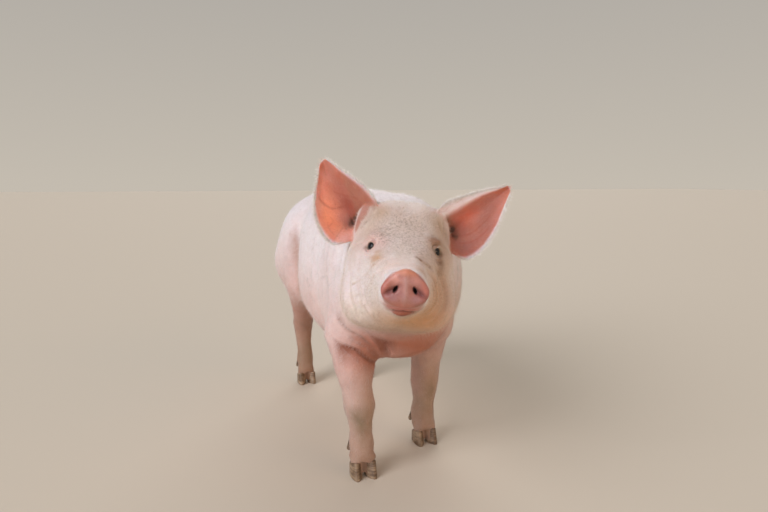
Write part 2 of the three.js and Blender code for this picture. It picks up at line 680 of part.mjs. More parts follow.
addLeg("foreleg_right", "fore", foreFoot.right);
addLeg("foreleg_left", "fore", foreFoot.left);
addLeg("hindleg_right", "hind", hindFoot.right);
addLeg("hindleg_left", "hind", hindFoot.left);

// The origin is under the middle of the whole animal, on the floor.
pig.updateMatrixWorld(true);
const extent = new THREE.Box3().setFromObject(pig, true);
const middle = extent.getCenter(vector(0, 0, 0));
pig.position.set(-middle.x, -middle.y, -extent.min.z);

export default pig;
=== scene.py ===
import math

import bmesh
import bpy
import numpy as np
from mathutils import Matrix, Vector
from mathutils.bvhtree import BVHTree
from mathutils.kdtree import KDTree


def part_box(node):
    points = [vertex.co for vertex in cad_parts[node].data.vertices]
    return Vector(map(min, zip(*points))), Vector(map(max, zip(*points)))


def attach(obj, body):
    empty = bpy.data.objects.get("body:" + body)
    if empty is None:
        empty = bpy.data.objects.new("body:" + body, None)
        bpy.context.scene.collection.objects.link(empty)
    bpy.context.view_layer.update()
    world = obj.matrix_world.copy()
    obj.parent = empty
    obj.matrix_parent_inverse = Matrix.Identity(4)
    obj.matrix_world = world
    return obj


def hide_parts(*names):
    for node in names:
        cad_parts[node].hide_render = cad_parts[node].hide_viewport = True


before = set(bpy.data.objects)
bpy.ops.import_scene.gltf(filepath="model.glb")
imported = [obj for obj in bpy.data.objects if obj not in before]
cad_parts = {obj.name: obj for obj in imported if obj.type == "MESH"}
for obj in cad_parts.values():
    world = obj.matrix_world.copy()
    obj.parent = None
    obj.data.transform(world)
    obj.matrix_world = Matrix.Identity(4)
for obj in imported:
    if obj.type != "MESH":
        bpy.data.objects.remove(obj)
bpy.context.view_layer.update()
rng = np.random.default_rng(11)
print("frame loaded")

# Lengths are in millimetres until a mesh is finished. Points are rows of an array, in the frame
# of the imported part; the pig's own body axes and head axes are only shifted or turned from it.

head = {
    "yaw": 18.1, "pitch": 7.1, "roll": 5.1,
    "betweenEyes": (3.0, 0.0, -1.5), "place": (-95.0, -627.0, 525.0),
}
sides = {"right": -1, "left": 1}


def turnMatrix(axis, degrees):
    return np.array(Matrix.Rotation(math.radians(degrees), 3, axis))


def middleOf(node):
    low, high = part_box(node)
    return (np.array(low) + np.array(high)) * 500


headTurn = turnMatrix("Z", -90 - head["yaw"]) @ turnMatrix("Y", -head["pitch"])
headTurn = headTurn @ turnMatrix("X", -head["roll"])
eyePlace = {side: middleOf("eye_" + side) for side in sides}
headPlace = (eyePlace["right"] + eyePlace["left"]) / 2 - headTurn @ np.array(head["betweenEyes"])
bodyShift = headPlace - np.array(head["place"])


def toHead(points):
    return (points - headPlace) @ headTurn


def fromHead(points):
    return points @ headTurn.T + headPlace


def foldedOver(q):
    # both sides of the head laid over its left one
    return np.column_stack([q[:, 0], np.abs(q[:, 1]), q[:, 2]])


def ramp(low, high, value):
    t = np.clip((value - low) / (high - low), 0, 1)
    return t * t * (3 - 2 * t)


def bell(value, width):
    return np.exp(-((value / width) ** 2))


def near(points, centre, radii):
    return np.exp(-(((points - np.array(centre)) / np.array(radii)) ** 2).sum(1))


def nearFlat(u, v, centre, radii):
    return np.exp(-(((u - centre[0]) / radii[0]) ** 2) - ((v - centre[1]) / radii[1]) ** 2)


def swollen(lift, points, swells, gain=1.0):
    for centre, radii, height in swells:
        lift = lift + gain * height * near(points, centre, radii)
    return lift


def unit(vectors):
    return vectors / np.maximum(np.linalg.norm(vectors, axis=1, keepdims=True), 1e-9)


def splinePoint(outline, t):
    # places along a smooth curve through the rows of an outline
    outline = np.array(outline, float)
    place = np.clip(t, 0, 1) * (len(outline) - 1)
    i = np.minimum(place.astype(int), len(outline) - 2)
    w = (place - i)[:, None]
    a, b, c, d = (outline[np.clip(i + k, 0, len(outline) - 1)] for k in (-1, 0, 1, 2))
    leave, arrive = (c - a) / 2, (d - b) / 2
    cubed = (2 * b - 2 * c + leave + arrive) * w**3
    squared = (-3 * b + 3 * c - 2 * leave - arrive) * w**2
    return cubed + squared + leave * w + b


def smoothPath(outline, count):
    return splinePoint(outline, np.linspace(0, 1, count))


def lineDistance(points, path):
    # distance to a polyline, and how far along it the nearest point is, from 0 to 1
    path = np.array(path, float)
    best = np.full(len(points), 1e9)
    share = np.zeros(len(points))
    lengths = np.maximum(np.linalg.norm(path[1:] - path[:-1], axis=1), 1e-6)
    start = np.concatenate([[0], np.cumsum(lengths)])
    for i, length in enumerate(lengths):
        along = (path[i + 1] - path[i]) / length
        t = np.clip((points - path[i]) @ along, 0, length)
        d = np.linalg.norm(points - path[i] - t[:, None] * along, axis=1)
        closer = d < best
        best[closer] = d[closer]
        share[closer] = ((start[i] + t) / start[-1])[closer]
    return best, share


def treeOf(places):
    tree = KDTree(len(places))
    for i, place in enumerate(places):
        tree.insert(place, i)
    tree.balance()
    return tree


# reach and lipAt count in widths of the fold, lip in its depth, ends in its length
foldShape = {"reach": 4.5, "lip": 0.5, "lipAt": 2.1, "taper": 0.6, "ends": 0.04}


def creased(places, tree, creases):
    # how far each point sinks into, or swells beside, folds drawn over the surface
    lift = np.zeros(len(places[0]))
    for side, path, width, depth in creases:
        where = places[side]
        onSurface = np.array([tree[side].find(spot)[0] for spot in smoothPath(path, 4 * len(path))])
        onSurface[1:-1] = (onSurface[:-2] + 2 * onSurface[1:-1] + onSurface[2:]) / 4
        reach = foldShape["reach"] * width
        close = ((where > onSurface.min(0) - reach) & (where < onSurface.max(0) + reach)).all(1)
        d, share = lineDistance(where[close], onSurface)
        inner = np.clip(share, foldShape["ends"], 1 - foldShape["ends"])
        valley = -bell(d, width) + foldShape["lip"] * bell(d - foldShape["lipAt"] * width, width)
        lift[close] += depth * valley * np.sin(inner * math.pi) ** foldShape["taper"]
    return lift


wave = {"count": 7, "stretch": (0.6, 1.7), "height": 4.2}


def waves(points, scale, seed):
    # soft noise from a few crossed waves, between about -1 and 1
    draw = np.random.default_rng(seed)
    total = np.zeros(len(points))
    for _ in range(wave["count"]):
        direction = draw.normal(size=3)
        direction *= draw.uniform(*wave["stretch"]) / np.linalg.norm(direction)
        total += np.sin(points @ direction * (2 * math.pi / scale) + draw.uniform(0, 6.28))
    return total / wave["height"]


# meshes as arrays
def pointsOf(mesh):
    co = np.empty(len(mesh.vertices) * 3, np.float32)
    mesh.vertices.foreach_get("co", co)
    return co.reshape(-1, 3).astype(float) * 1000


def putPoints(mesh, points):
    mesh.vertices.foreach_set("co", (points / 1000).astype(np.float32).ravel())
    mesh.update()


def normalsOf(mesh):
    n = np.empty(len(mesh.vertices) * 3, np.float32)
    mesh.vertex_normals.foreach_get("vector", n)
    return n.reshape(-1, 3).astype(float)


def edgesOf(mesh):
    e = np.empty(len(mesh.edges) * 2, np.int32)
    mesh.edges.foreach_get("vertices", e)
    return e.reshape(-1, 2)


def relax(points, edges, amount, rounds):
    # draws each point towards the middle of its neighbours
    count = len(points)
    degree = np.maximum(np.bincount(edges.ravel(), minlength=count), 1)[:, None]
    amount = np.broadcast_to(np.asarray(amount, float), (count,))[:, None]
    for _ in range(rounds):
        total = np.empty_like(points)
        for axis in range(3):
            value = points[:, axis]
            total[:, axis] = np.bincount(edges[:, 0], value[edges[:, 1]], count)
            total[:, axis] += np.bincount(edges[:, 1], value[edges[:, 0]], count)
        points = points + amount * (total / degree - points)
    return points


def newObject(name, data):
    piece = bpy.data.objects.new(name, data)
    bpy.context.scene.collection.objects.link(piece)
    return piece


def meshOf(shape, name):
    # a new mesh from a bmesh, which is used up
    mesh = bpy.data.meshes.new(name)
    shape.to_mesh(mesh)
    shape.free()
    return mesh


def facedOut(mesh):
    shape = bmesh.new()
    shape.from_mesh(mesh)
    bmesh.ops.recalc_face_normals(shape, faces=shape.faces)
    shape.to_mesh(mesh)
    shape.free()
    return mesh


def smoothShaded(mesh):
    mesh.polygons.foreach_set("use_smooth", np.ones(len(mesh.polygons), bool))


def triangleCount(mesh):
    return sum(len(face.vertices) - 2 for face in mesh.polygons)


def withModifiers(piece):
    # a mesh with the modifiers applied, and the piece itself removed
    depsgraph = bpy.context.evaluated_depsgraph_get()
    made = bpy.data.meshes.new_from_object(piece.evaluated_get(depsgraph), depsgraph=depsgraph)
    bpy.data.objects.remove(piece)
    return made


def softened(piece, levels):
    soften = piece.modifiers.new("soften", "SUBSURF")
    soften.levels = soften.render_levels = levels
    return withModifiers(piece)


def cadCopy(names, swell):
    # merged copies of CAD nodes in one mesh, each swollen enough to close the thin cuts
    whole = bmesh.new()
    for name in names:
        piece = bmesh.new()
        piece.from_mesh(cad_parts[name].data)
        bmesh.ops.remove_doubles(piece, verts=piece.verts, dist=2e-6)
        piece.normal_update()
        for v in piece.verts:
            v.co = v.co + v.normal * swell / 1000
        mesh = meshOf(piece, name + "Copy")
        whole.from_mesh(mesh)
        bpy.data.meshes.remove(mesh)
    return meshOf(whole, "cadCopy")


def remeshed(mesh, voxel):
    piece = newObject("rough", mesh)
    wrap = piece.modifiers.new("wrap", "REMESH")
    wrap.mode = "VOXEL"
    wrap.voxel_size = voxel / 1000
    return withModifiers(piece)


# the skin: one closed surface round all the flesh
skin = {
    "swell": 0.6, "voxel": 4.2, "coatDepth": 1.0, "rounds": 34, "faces": 184000,
    "bodySmoothing": 0.62, "legSmoothing": 0.17, "headSmoothing": 0.15,
    "snoutSmoothing": 0.05, "clawSmoothing": 0.06,
}
legs = [kind + "leg_" + side for kind in ("fore", "hind") for side in sides]
claws = [
    f"{kind}hoof_{side}_{place}"
    for kind in ("fore", "hind") for side in sides for place in ("inner", "outer")
]
dewclaws = [name.replace("hoof", "dewclaw") for name in claws]
eyes = ["eye_" + side for side in sides]
flesh = ["head", "lower_jaw", "snout", "neck", "trunk", *legs]

print("wrapping the flesh")
skinMesh = remeshed(cadCopy([*flesh, *eyes, *claws], skin["swell"]), skin["voxel"])
points = pointsOf(skinMesh)
edges = edgesOf(skinMesh)
q = toHead(points)
p = points - bodyShift

headward = ramp(-150, -70, q[:, 0])
snoutward = ramp(105, 135, q[:, 0])
legward = ramp(330, 240, p[:, 2]) * (1 - headward)
clawward = ramp(60, 40, p[:, 2])
amount = skin["bodySmoothing"]
for part, share in {"leg": legward, "head": headward, "snout": snoutward, "claw": clawward}.items():
    amount = amount + (skin[part + "Smoothing"] - amount) * share
points = relax(points, edges, amount, skin["rounds"])
putPoints(skinMesh, points)
points -= normalsOf(skinMesh) * (skin["coatDepth"] * (1 - 0.7 * snoutward))[:, None]


# folds, hollows and swellings of the body, in the pig's body axes: x is taken outwards
spine = {"straightAt": -50, "reach": 330, "shoulders": 5, "rump": 14}


def spineX(y):
    share = (y - spine["straightAt"]) / spine["reach"]
    return -np.where(share < 0, spine["shoulders"], spine["rump"]) * share**2


bodySwells = [  # centre out from the spine, radii, height
    ((150, -300, 500), (40, 50, 70), 5.0),
    ((150, -335, 400), (45, 40, 45), 4.5),
    ((150, -170, 420), (60, 70, 90), -3.5),
    ((150, -30, 450), (60, 60, 120), 3.0),
    ((150, 195, 480), (60, 50, 90), 6.0),
    ((135, 250, 420), (60, 60, 60), 4.5),
    ((150, 82, 450), (70, 46, 140), -17.0),
    ((0, 60, 625), (13, 330, 30), -2.2),
    ((46, 120, 620), (26, 200, 30), 1.6),
    ((0, 338, 505), (13, 22, 16), -3.5),
    ((24, 338, 480), (16, 22, 50), 2.5),
    ((0, 330, 400), (13, 40, 90), -9.0),
    ((52, 330, 400), (34, 40, 90), 4.0),
    ((126, -262, 296), (24, 20, 24), 5.0),
    ((118, -330, 250), (30, 24, 30), 3.0),
    ((60, 120, 262), (30, 40, 30), -3.0),
    *[((48, y, 232), (6, 6, 26), 6.0) for y in (-180, -115, -50, 15, 80, 140)],
]
bodyCreases = [  # side (0 is both), path out from the spine, width, depth
    (0, [(150, -185, 540), (155, -188, 460), (152, -198, 380), (140, -225, 310), (110, -252, 262)], 12, 4.5),
    (0, [(140, 106, 560), (140, 98, 460), (136, 98, 390), (132, 104, 340), (118, 96, 300), (92, 84, 262)],
     9, 2.8),
    (0, [(100, 326, 470), (112, 320, 400), (106, 308, 340), (96, 300, 300)], 10, 4.5),
    (0, [(150, 150, 330), (140, 140, 300), (112, 150, 268)], 7, 3.5),
    (-1, [(132, -384, 296), (118, -394, 290), (107, -393, 284), (93, -398, 272), (79, -397, 258)], 5, 8.0),
    (-1, [(136, -376, 344), (112, -410, 318), (90, -424, 296)], 5, 4.0),
    (-1, [(102, -392, 268), (80, -392, 258), (60, -380, 250)], 4, 3.5),
    (-1, [(66, -452, 330), (62, -448, 306), (52, -430, 280), (36, -405, 258)], 6, 8.0),
    (1, [(104, -346, 312), (82, -352, 284), (62, -340, 262)], 5, 4.5),
    (1, [(118, -352, 336), (96, -372, 308), (72, -386, 290)], 6, 3.0),
    (0, [(0, -476, 352), (40, -468, 345), (84, -446, 350), (118, -420, 372)], 8, 4.0),
    (0, [(110, -465, 570), (142, -435, 500), (146, -415, 430), (128, -412, 360), (90, -430, 322)], 10, 5.0),
    (0, [(116, -400, 590), (148, -378, 510), (154, -360, 430), (142, -352, 360)], 10, 4.4),
    (0, [(130, -330, 590), (156, -305, 520), (160, -288, 440)], 11, 3.0),
    (0, [(96, -505, 565), (128, -484, 500), (128, -474, 430), (96, -474, 370), (40, -480, 345)], 8, 4.6),
]
brisket = [  # swellings of the chest between the forelegs, not the same on both sides
    ((-98, -424, 292), (20, 32, 26), 5.0),
    ((-46, -447, 290), (20, 36, 24), 6.5),
    ((8, -456, 292), (28, 36, 28), 4.0),
]
print("sculpting the body")
putPoints(skinMesh, points)
normal = normalsOf(skinMesh)
p = points - bodyShift
mirrored = np.column_stack([np.abs(p[:, 0] - spineX(p[:, 1])), p[:, 1], p[:, 2]])
rightSide = p[:, 0] < spineX(p[:, 1])
bodyOnly = 1 - ramp(-130, -90, toHead(points)[:, 0])
lift = swollen(swollen(np.zeros(len(points)), mirrored, bodySwells), p, brisket)
away = np.array([9000.0, 0, 0])  # keeps a fold of one side off the other
places = {0: mirrored, -1: mirrored + away * ~rightSide[:, None], 1: mirrored + away * rightSide[:, None]}
lift += creased(places, {side: treeOf(cloud) for side, cloud in places.items()}, bodyCreases)
# soft upright folds on neck and shoulder, and a little unevenness all over
uprightFolds = {"height": 2.2, "apart": 46, "wander": 14}
foldArea = near(mirrored, (150, -390, 470), (90, 95, 110))
foldTurn = (p[:, 1] + uprightFolds["wander"] * waves(p, 240, 3)) * 2 * math.pi / uprightFolds["apart"]
lift += uprightFolds["height"] * foldArea * np.sin(foldTurn)
lift += 1.0 * waves(p, 120, 5) + 0.5 * waves(p, 45, 6)
# limbs: the groove over the hock, knee and fetlock knobs, the swell of skin over the claws
footPlaces = {
    "foreleg_right": (-98, -380), "foreleg_left": (95, -264),
    "hindleg_right": (-92, 268), "hindleg_left": (88, 256),
}
limbSwells = {  # centre from the middle of the foot, the same to both sides of it; radii, height
    "hind": [
        ((24, 34, 252), (16, 10, 42), -5.0),
        ((20, 26, 192), (14, 20, 20), 3.0),
        ((20, 18, 130), (14, 9, 50), -3.0),
        ((0, -24, 190), (18, 12, 20), 2.5),
    ],
    "fore": [
        ((0, -26, 160), (22, 16, 19), 3.6),
        ((28, -4, 158), (10, 18, 16), 2.2),
        ((26, 4, 200), (14, 14, 20), -3.0),
        ((10, 34, 178), (18, 12, 14), 3.0),
        ((20, 10, 112), (14, 9, 32), -3.2),
        ((22, -10, 246), (22, 24, 34), 3.0),
    ],
    "any": [
        ((14, 24, 74), (16, 14, 14), 3.0),
        ((0, -34, 66), (5, 16, 26), -3.4),
        ((14, -16, 46), (26, 26, 7), 3.0),
        ((14, -10, 58), (30, 30, 4), -1.4),
    ],
}
limbWidth = 90
for name, (footX, footY) in footPlaces.items():
    local = np.column_stack([np.abs(p[:, 0] - footX), p[:, 1] - footY, p[:, 2]])
    part = swollen(np.zeros(len(p)), local, limbSwells[name[:4]] + limbSwells["any"])
    part += 0.6 * waves(p, 26, 9)
    lift += np.where(np.hypot(local[:, 0], local[:, 1]) < limbWidth, part, 0)
points = points + normal * (lift * bodyOnly)[:, None]

# below the skin's edge the flesh draws in, out of sight inside the claws
hoofEdge = {"width": 80, "top": 50, "height": 30, "slope": 16 / 56, "draw": 0.3, "lift": 6}
p = points - bodyShift
for footX, footY in footPlaces.values():
    mine = (np.hypot(p[:, 0] - footX, p[:, 1] - footY) < hoofEdge["width"]) & (p[:, 2] < hoofEdge["top"])
    edgeHeight = hoofEdge["height"] - hoofEdge["slope"] * (p[:, 1] - footY + 10)
    inward = ramp(3, -4, p[:, 2] - edgeHeight) * mine
    centre = np.array([footX, footY - 8]) + bodyShift[:2]
    points[:, :2] = points[:, :2] + (centre - points[:, :2]) * (hoofEdge["draw"] * inward)[:, None]
    points[:, 2] += hoofEdge["lift"] * inward * ramp(20, 0, p[:, 2])
putPoints(skinMesh, points)
print("skin", len(points), "points")


# finer faces where the face needs them
def refine(mesh, inside):
    whole = bmesh.new()
    whole.from_mesh(mesh)
    whole.verts.ensure_lookup_table()
    chosen = [e for e in whole.edges if inside[e.verts[0].index] or inside[e.verts[1].index]]
    bmesh.ops.subdivide_edges(whole, edges=chosen, cuts=1, use_grid_fill=True)
    whole.to_mesh(mesh)
    whole.free()
    mesh.update()


def eyeDistance(q):
    return np.linalg.norm(foldedOver(q) - np.array([3, 50.5, -1.5]), axis=1)


refineSteps = [
    lambda q: (q[:, 0] > -50) & (q[:, 0] < 190) & (q[:, 2] > -175),
    lambda q: (eyeDistance(q) < 30) | ((q[:, 0] > 112) & (q[:, 2] > -112)),
    lambda q: eyeDistance(q) < 19,
]
print("refining the face")
for step in refineSteps:
    q = toHead(pointsOf(skinMesh))
    chosen = step(q)
    refine(skinMesh, chosen)
    points = pointsOf(skinMesh)
    chosen = step(toHead(points))
    points = relax(points, edgesOf(skinMesh), 0.5 * chosen, 5)
    putPoints(skinMesh, points)
print("skin", len(points), "points")

# the face, in the head's axes: x to the snout, y to the left, z up
disc = {
    "height": -61, "halfWidth": 35.5, "halfHeight": 27.8, "topShare": 1.10, "depth": 15, "rounding": 7.0,
    "lean": 3, "tip": 171.5, "narrowing": 0.44, "widening": 0.06,
}
nostril = {
    "side": 14.2, "height": -61.5, "halfWidth": 2.6, "halfHeight": 4.5, "lean": 0.35, "depth": 13,
    "dish": 2.0, "ridge": 1.0, "groove": 4.0, "flare": 3.5,
}
faceGain = {"swells": 1.35, "creases": 1.7, "waves": 0.5}
faceSwells = [  # centre, radii, height; y is taken as positive on both sides
    ((-8, 48, 17), (22, 14, 7), 2.6),
    ((10, 56, -15), (15, 12, 6), 1.6),
    ((-38, 72, -18), (34, 22, 13), 2.0),
    ((12, 56, -52), (34, 18, 18), -3.0),
    ((72, 36, -36), (34, 12, 14), -2.4),
    ((66, 0, -6), (34, 14, 10), -1.8),
    ((78, 16, -14), (26, 7, 8), 1.6),
    ((-48, 0, 70), (34, 16, 30), -1.6),
    ((-60, 34, 84), (30, 18, 18), 2.2),
    ((120, 25, -74), (26, 12, 10), 2.2),
    ((-55, 74, -105), (44, 30, 30), 4.5),
    ((-20, 50, -128), (34, 26, 18), 2.5),
    ((-20, 0, -140), (50, 16, 20), -2.5),
    ((28, 52, 6), (10, 8, 6), -1.6),
]
templeSwells = [  # the same, but on the side that y says only
    ((-68, 82, 58), (26, 18, 26), -7.0),
    ((-62, 84, 22), (24, 16, 20), -2.0),
    ((-64, -76, 56), (16, 14, 24), 1.2),
]
faceCreases = [  # side, path, width, depth
    (1, [(83, 39, -32), (48, 56, -50), (24, 63, -74), (22, 57, -95), (34, 44, -106)], 4.0, 2.6),
    (1, [(40, 55, -30), (2, 72, -50), (-10, 80, -79), (-8, 74, -106), (-10, 59, -126)], 5.0, 2.6),
    (1, [(-23, 86, -31), (-44, 94, -60), (-38, 96, -84), (-34, 88, -113), (-40, 66, -136)], 6.0, 2.2),
    (-1, [(-34, -90, -51), (-26, -89, -75), (-21, -79, -110), (-45, -55, -142)], 7.0, 2.4),
    (-1, [(20, -65, -70), (16, -60, -94), (14, -40, -116), (-16, -18, -140)], 5.0, 2.2),
    (-1, [(92, -38, -34), (62, -52, -54), (44, -56, -80)], 4.0, 1.8),
    (1, [(80, 18, -13), (80, 30, -21), (60, 46, -29)], 2.6, 1.8),
    (-1, [(84, -8, -12), (80, -26, -19), (66, -40, -26)], 3.0, 0.9),
    (1, [(92, 0, -14), (91, 16, -17)], 2.4, 0.9),
    (-1, [(60, -44, -24), (44, -54, -37), (12, -67, -54), (-15, -82, -69)], 2.0, 0.7),
    (0, [(2, 64, -14), (14, 62, -18), (26, 54, -16)], 2.4, 1.1),
    (0, [(-14, 60, 9), (0, 57, 12), (14, 50, 11)], 2.4, 1.2),
    (0, [(-20, 66, 2), (-32, 74, -2), (-44, 80, -8)], 3.0, 0.9),
    (0, [(132, 0, -26), (131, 20, -32), (128, 31, -48), (124, 34, -66)], 2.2, 0.9),
    (0, [(118, 0, -22), (116, 18, -28), (112, 32, -42), (108, 36, -58)], 2.6, 0.7),
    (0, [(70, 40, -50), (50, 50, -62), (34, 54, -80)], 3.2, 1.0),
    (1, [(-66, 62, 60), (-52, 70, 40), (-50, 76, 16)], 4.0, 1.6),
    (-1, [(-68, -55, 78), (-53, -59, 58), (-53, -70, 41), (-54, -79, 30)], 3.2, 1.8),
]
print("sculpting the face")
points = pointsOf(skinMesh)
q = toHead(points)
normal = normalsOf(skinMesh)
folded = foldedOver(q)
faceOnly = ramp(-170, -110, q[:, 0])
lift = swollen(np.zeros(len(points)), folded, faceSwells, faceGain["swells"])
lift = swollen(lift, q, templeSwells, faceGain["swells"])
skinTree = treeOf(q)
trees = {0: treeOf(folded), -1: skinTree, 1: skinTree}
lift += faceGain["creases"] * creased({0: folded, -1: q, 1: q}, trees, faceCreases)
lift += faceGain["waves"] * waves(q, 40, 8) * ramp(120, 90, q[:, 0])
points = points + normal * (lift * faceOnly)[:, None]

# the snout disc: points that lie inside it are drawn out to its surface
q = toHead(points)


def discDistance(q):
    forward = q[:, 0] - (q[:, 2] - disc["height"]) * math.tan(math.radians(disc["lean"]))
    up = (q[:, 2] - disc["height"]) / disc["halfHeight"]
    up = np.where(up > 0, up / disc["topShare"], up)
    narrower = disc["narrowing"] * np.clip(up, 0, 1) ** 1.3
    width = disc["halfWidth"] * (1 - narrower + disc["widening"] * np.clip(-up, 0, 1))
    share = np.hypot(q[:, 1] / width, up)
    across = (share - 1) * disc["halfHeight"] + disc["rounding"]
    along = np.abs(forward - disc["tip"] + disc["depth"] / 2) - disc["depth"] / 2 + disc["rounding"]
    outside = np.hypot(np.maximum(across, 0), np.maximum(along, 0))
    return outside + np.minimum(np.maximum(across, along), 0) - disc["rounding"]


for _ in range(3):
    d = discDistance(q)
    slope = np.column_stack([discDistance(q + step) - d for step in np.eye(3) * 0.2]) / 0.2
    draw = np.minimum(d, 0) * (q[:, 0] > disc["tip"] - 22)
    q = q - unit(slope) * draw[:, None]
edges = edgesOf(skinMesh)
q = relax(q, edges, 0.4 * ramp(140, 150, q[:, 0]), 4)


def nostrilShares(q, radii):
    # how far out each point lies from a nostril's hole, and from the groove beside it
    up = q[:, 2] - nostril["height"]
    out = np.abs(q[:, 1]) - nostril["side"]
    hole = np.hypot((out + nostril["lean"] * up) / nostril["halfWidth"], up / nostril["halfHeight"])
    slit = np.hypot((out - 6 + 0.5 * up) / radii[0], (up + 0.45 * out) / radii[1])
    return hole, slit


# a shallow dish round each nostril, a ridge between them, and the nostrils themselves
front = ramp(disc["tip"] - 8, disc["tip"] - 3, q[:, 0] - (q[:, 2] - disc["height"]) * 0.05)
across = np.abs(q[:, 1])
push = nostril["dish"] * nearFlat(across, q[:, 2] - nostril["height"], (17, -1), (10, 11))
push -= nostril["ridge"] * bell(across, 4.5) * ramp(-95, -80, q[:, 2])
hole, slit = nostrilShares(q, (8, 4.8))
push += nostril["groove"] * np.exp(-(slit**2))
push += nostril["depth"] * ramp(1.3, 0.55, hole)
q[:, 0] -= push * front
q[:, 1] += np.sign(q[:, 1]) * nostril["flare"] * ramp(0.95, 0.5, hole) * front

# the mouth line, from under the disc back along each side
mouthPath = [(158, 0, -91.5), (153, 13, -92.5), (138, 22, -96), (112, 30, -93), (86, 35, -86.5)]
mouth = {"depth": 4.2, "width": 2.0, "lip": 0.9, "lipAt": 4.5, "lipWidth": 2.6, "lowerLip": 3.6}
d, share = lineDistance(foldedOver(q), mouthPath)
putPoints(skinMesh, fromHead(q))
normal = normalsOf(skinMesh) @ headTurn
lips = mouth["lip"] * bell(d - mouth["lipAt"], mouth["lipWidth"]) - mouth["depth"] * bell(d, mouth["width"])
q = q + normal * (lips * ramp(1, 0.8, share))[:, None]
q = q + normal * (mouth["lowerLip"] * near(q, (153, -3, -98.5), (9, 13, 5)))[:, None]

# eyes: the lids lie on the eyeball, and the skin drops behind it between them
eye = {
    "radius": 11.5, "lidLift": 1.0, "lidReach": 12.0, "slant": 14, "halfLength": 8.7,
    "upper": 6.9, "lower": 6.1, "drop": 6.5, "forward": (0.60, 0.79, 0.10), "margin": 1.15,
    "rim": 0.6, "crease": 1.6, "sunk": 0.35, "bulge": 0.05,
}


def eyeAxes(side):
    out = np.array(eye["forward"]) * [1, side, 1]
    out /= np.linalg.norm(out)
    ahead = np.cross([0, 0, 1.0], out) * -side
    ahead /= np.linalg.norm(ahead)
    upwards = np.cross(out, ahead) * side
    upwards *= np.sign(upwards[2])
    slant = math.radians(eye["slant"])
    along = ahead * math.cos(slant) + upwards * math.sin(slant)
    over = upwards * math.cos(slant) - ahead * math.sin(slant)
    return along, over, out


for side, sign in sides.items():
    centre = toHead(eyePlace[side][None])[0]
    along, over, out = eyeAxes(sign)
    local = q - centre
    u, v, w = local @ along, local @ over, local @ out
    spread = np.hypot(u, v)
    facing = (w > -4) & (spread < 30)
    ball = np.sqrt(np.maximum((eye["radius"] + eye["lidLift"]) ** 2 - spread**2, 0))
    height = np.where(v > 0, eye["upper"], eye["lower"])
    opening = np.abs(v) / (height * np.sqrt(np.maximum(1 - (u / eye["halfLength"]) ** 2, 1e-3)))
    opening = np.where(np.abs(u) < eye["halfLength"], opening, 9)
    onBall = ramp(eye["lidReach"], eye["lidReach"] * 0.62, spread)
    lid = w + (np.maximum(ball, w - 6) - w) * onBall
    behind = np.sqrt(np.maximum((eye["radius"] + 0.8) ** 2 - spread**2, 0))
    lid = np.maximum(lid, behind - 5 * ramp(12, 14, spread))
    rim = bell(opening - 1.24, 0.24) * eye["rim"]
    crease = -eye["crease"] * bell(spread - 11.5, 1.5) * ramp(0, 3, v)
    lid = lid + rim + crease
    inside = ramp(1.08, 0.9, opening)
    newW = lid * (1 - inside) + (lid - eye["drop"]) * inside
    newW = np.where(facing, newW, w)
    q = q + out * (newW - w)[:, None]
points = fromHead(q)
putPoints(skinMesh, points)


# ears: a cupped leaf each, drawn in rows from base to tip and columns from lower to upper edge
ear = {
    "lower": {
        "right": [(-22, -30), (-14, -50), (-2, -72), (26, -77), (58, -70), (88, -51), (115, -25), (139, -4)],
        "left": [(-22, -30), (-12, -54), (2, -73), (32, -75), (64, -65), (96, -47), (124, -28), (148, -13)],
    },
    "upper": {
        "right": [(-12, 24), (8, 36), (29, 39), (52, 36), (79, 28), (102, 19), (123, 13), (140, 6)],
        "left": [(-12, 22), (8, 33), (28, 35), (50, 30), (74, 23), (98, 15), (124, 4), (149, -4)],
    },
    "cup": 24, "place": (-78, 73, 47), "rise": {"right": 49.5, "left": 39.5},
    "thickness": 4.4, "blunt": 0.06, "cuts": 41, "tipBack": 10, "curl": 14,
    "ridge": 3.2, "valley": 3.4, "lobeFold": 1.6, "canal": (0.26, 0.5), "canalDepth": 5,
}


def rollAt(side, t):
    # where across the ear its front margin starts to roll forwards
    return 0.77 + 0.18 * t if side == "left" else np.clip(0.58 + 0.74 * (t - 0.26), 0.55, 1.2)


def earPoint(side, t, s):
    # the middle of the ear's thickness, in the head's axes
    flat = splinePoint(ear["lower"][side], t)
    flat = flat + (splinePoint(ear["upper"][side], t) - flat) * s[:, None]
    turn = math.radians(ear["rise"][side])
    arch = 1 - (2 * s - 1) ** 2
    back = ear["cup"] * (1 - 0.75 * t) * arch + ear["tipBack"] * t * t
    curl = ear["curl"] * ramp(0.7, 1, s) * (1 - t)
    wavy = 1.8 * np.sin(t * 9 + 2.4 * s) * (1 - s) + 1.2 * np.sin(s * 15 + 3 * t) * (1 - 0.6 * t) * arch
    rollEdge = rollAt(side, t)
    valley = ramp(rollEdge, rollEdge - 0.14, s) * ramp(rollEdge - 0.5, rollEdge - 0.2, s)
    wavy = wavy + (ear["ridge"] * bell(s - rollEdge, 0.06) - ear["valley"] * valley) * (1 - t)
    canal = nearFlat(t, s, ear["canal"], (0.09, 0.15))
    wavy = wavy - canal * (ear["canalDepth"] - 1.8 * np.sin(s * 42 + 5 * np.sin(9 * t)))
    lobeFold = bell(t - 0.30 - 0.1 * s, 0.02) * ramp(0.34, 0.2, s)
    wavy = wavy - ear["lobeFold"] * lobeFold
    y = flat[:, 0] * math.cos(turn) - flat[:, 1] * math.sin(turn)
    z = flat[:, 0] * math.sin(turn) + flat[:, 1] * math.cos(turn)
    place = ear["place"]
    return np.column_stack([place[0] - back + curl + wavy, sides[side] * (place[1] + y), place[2] + z])


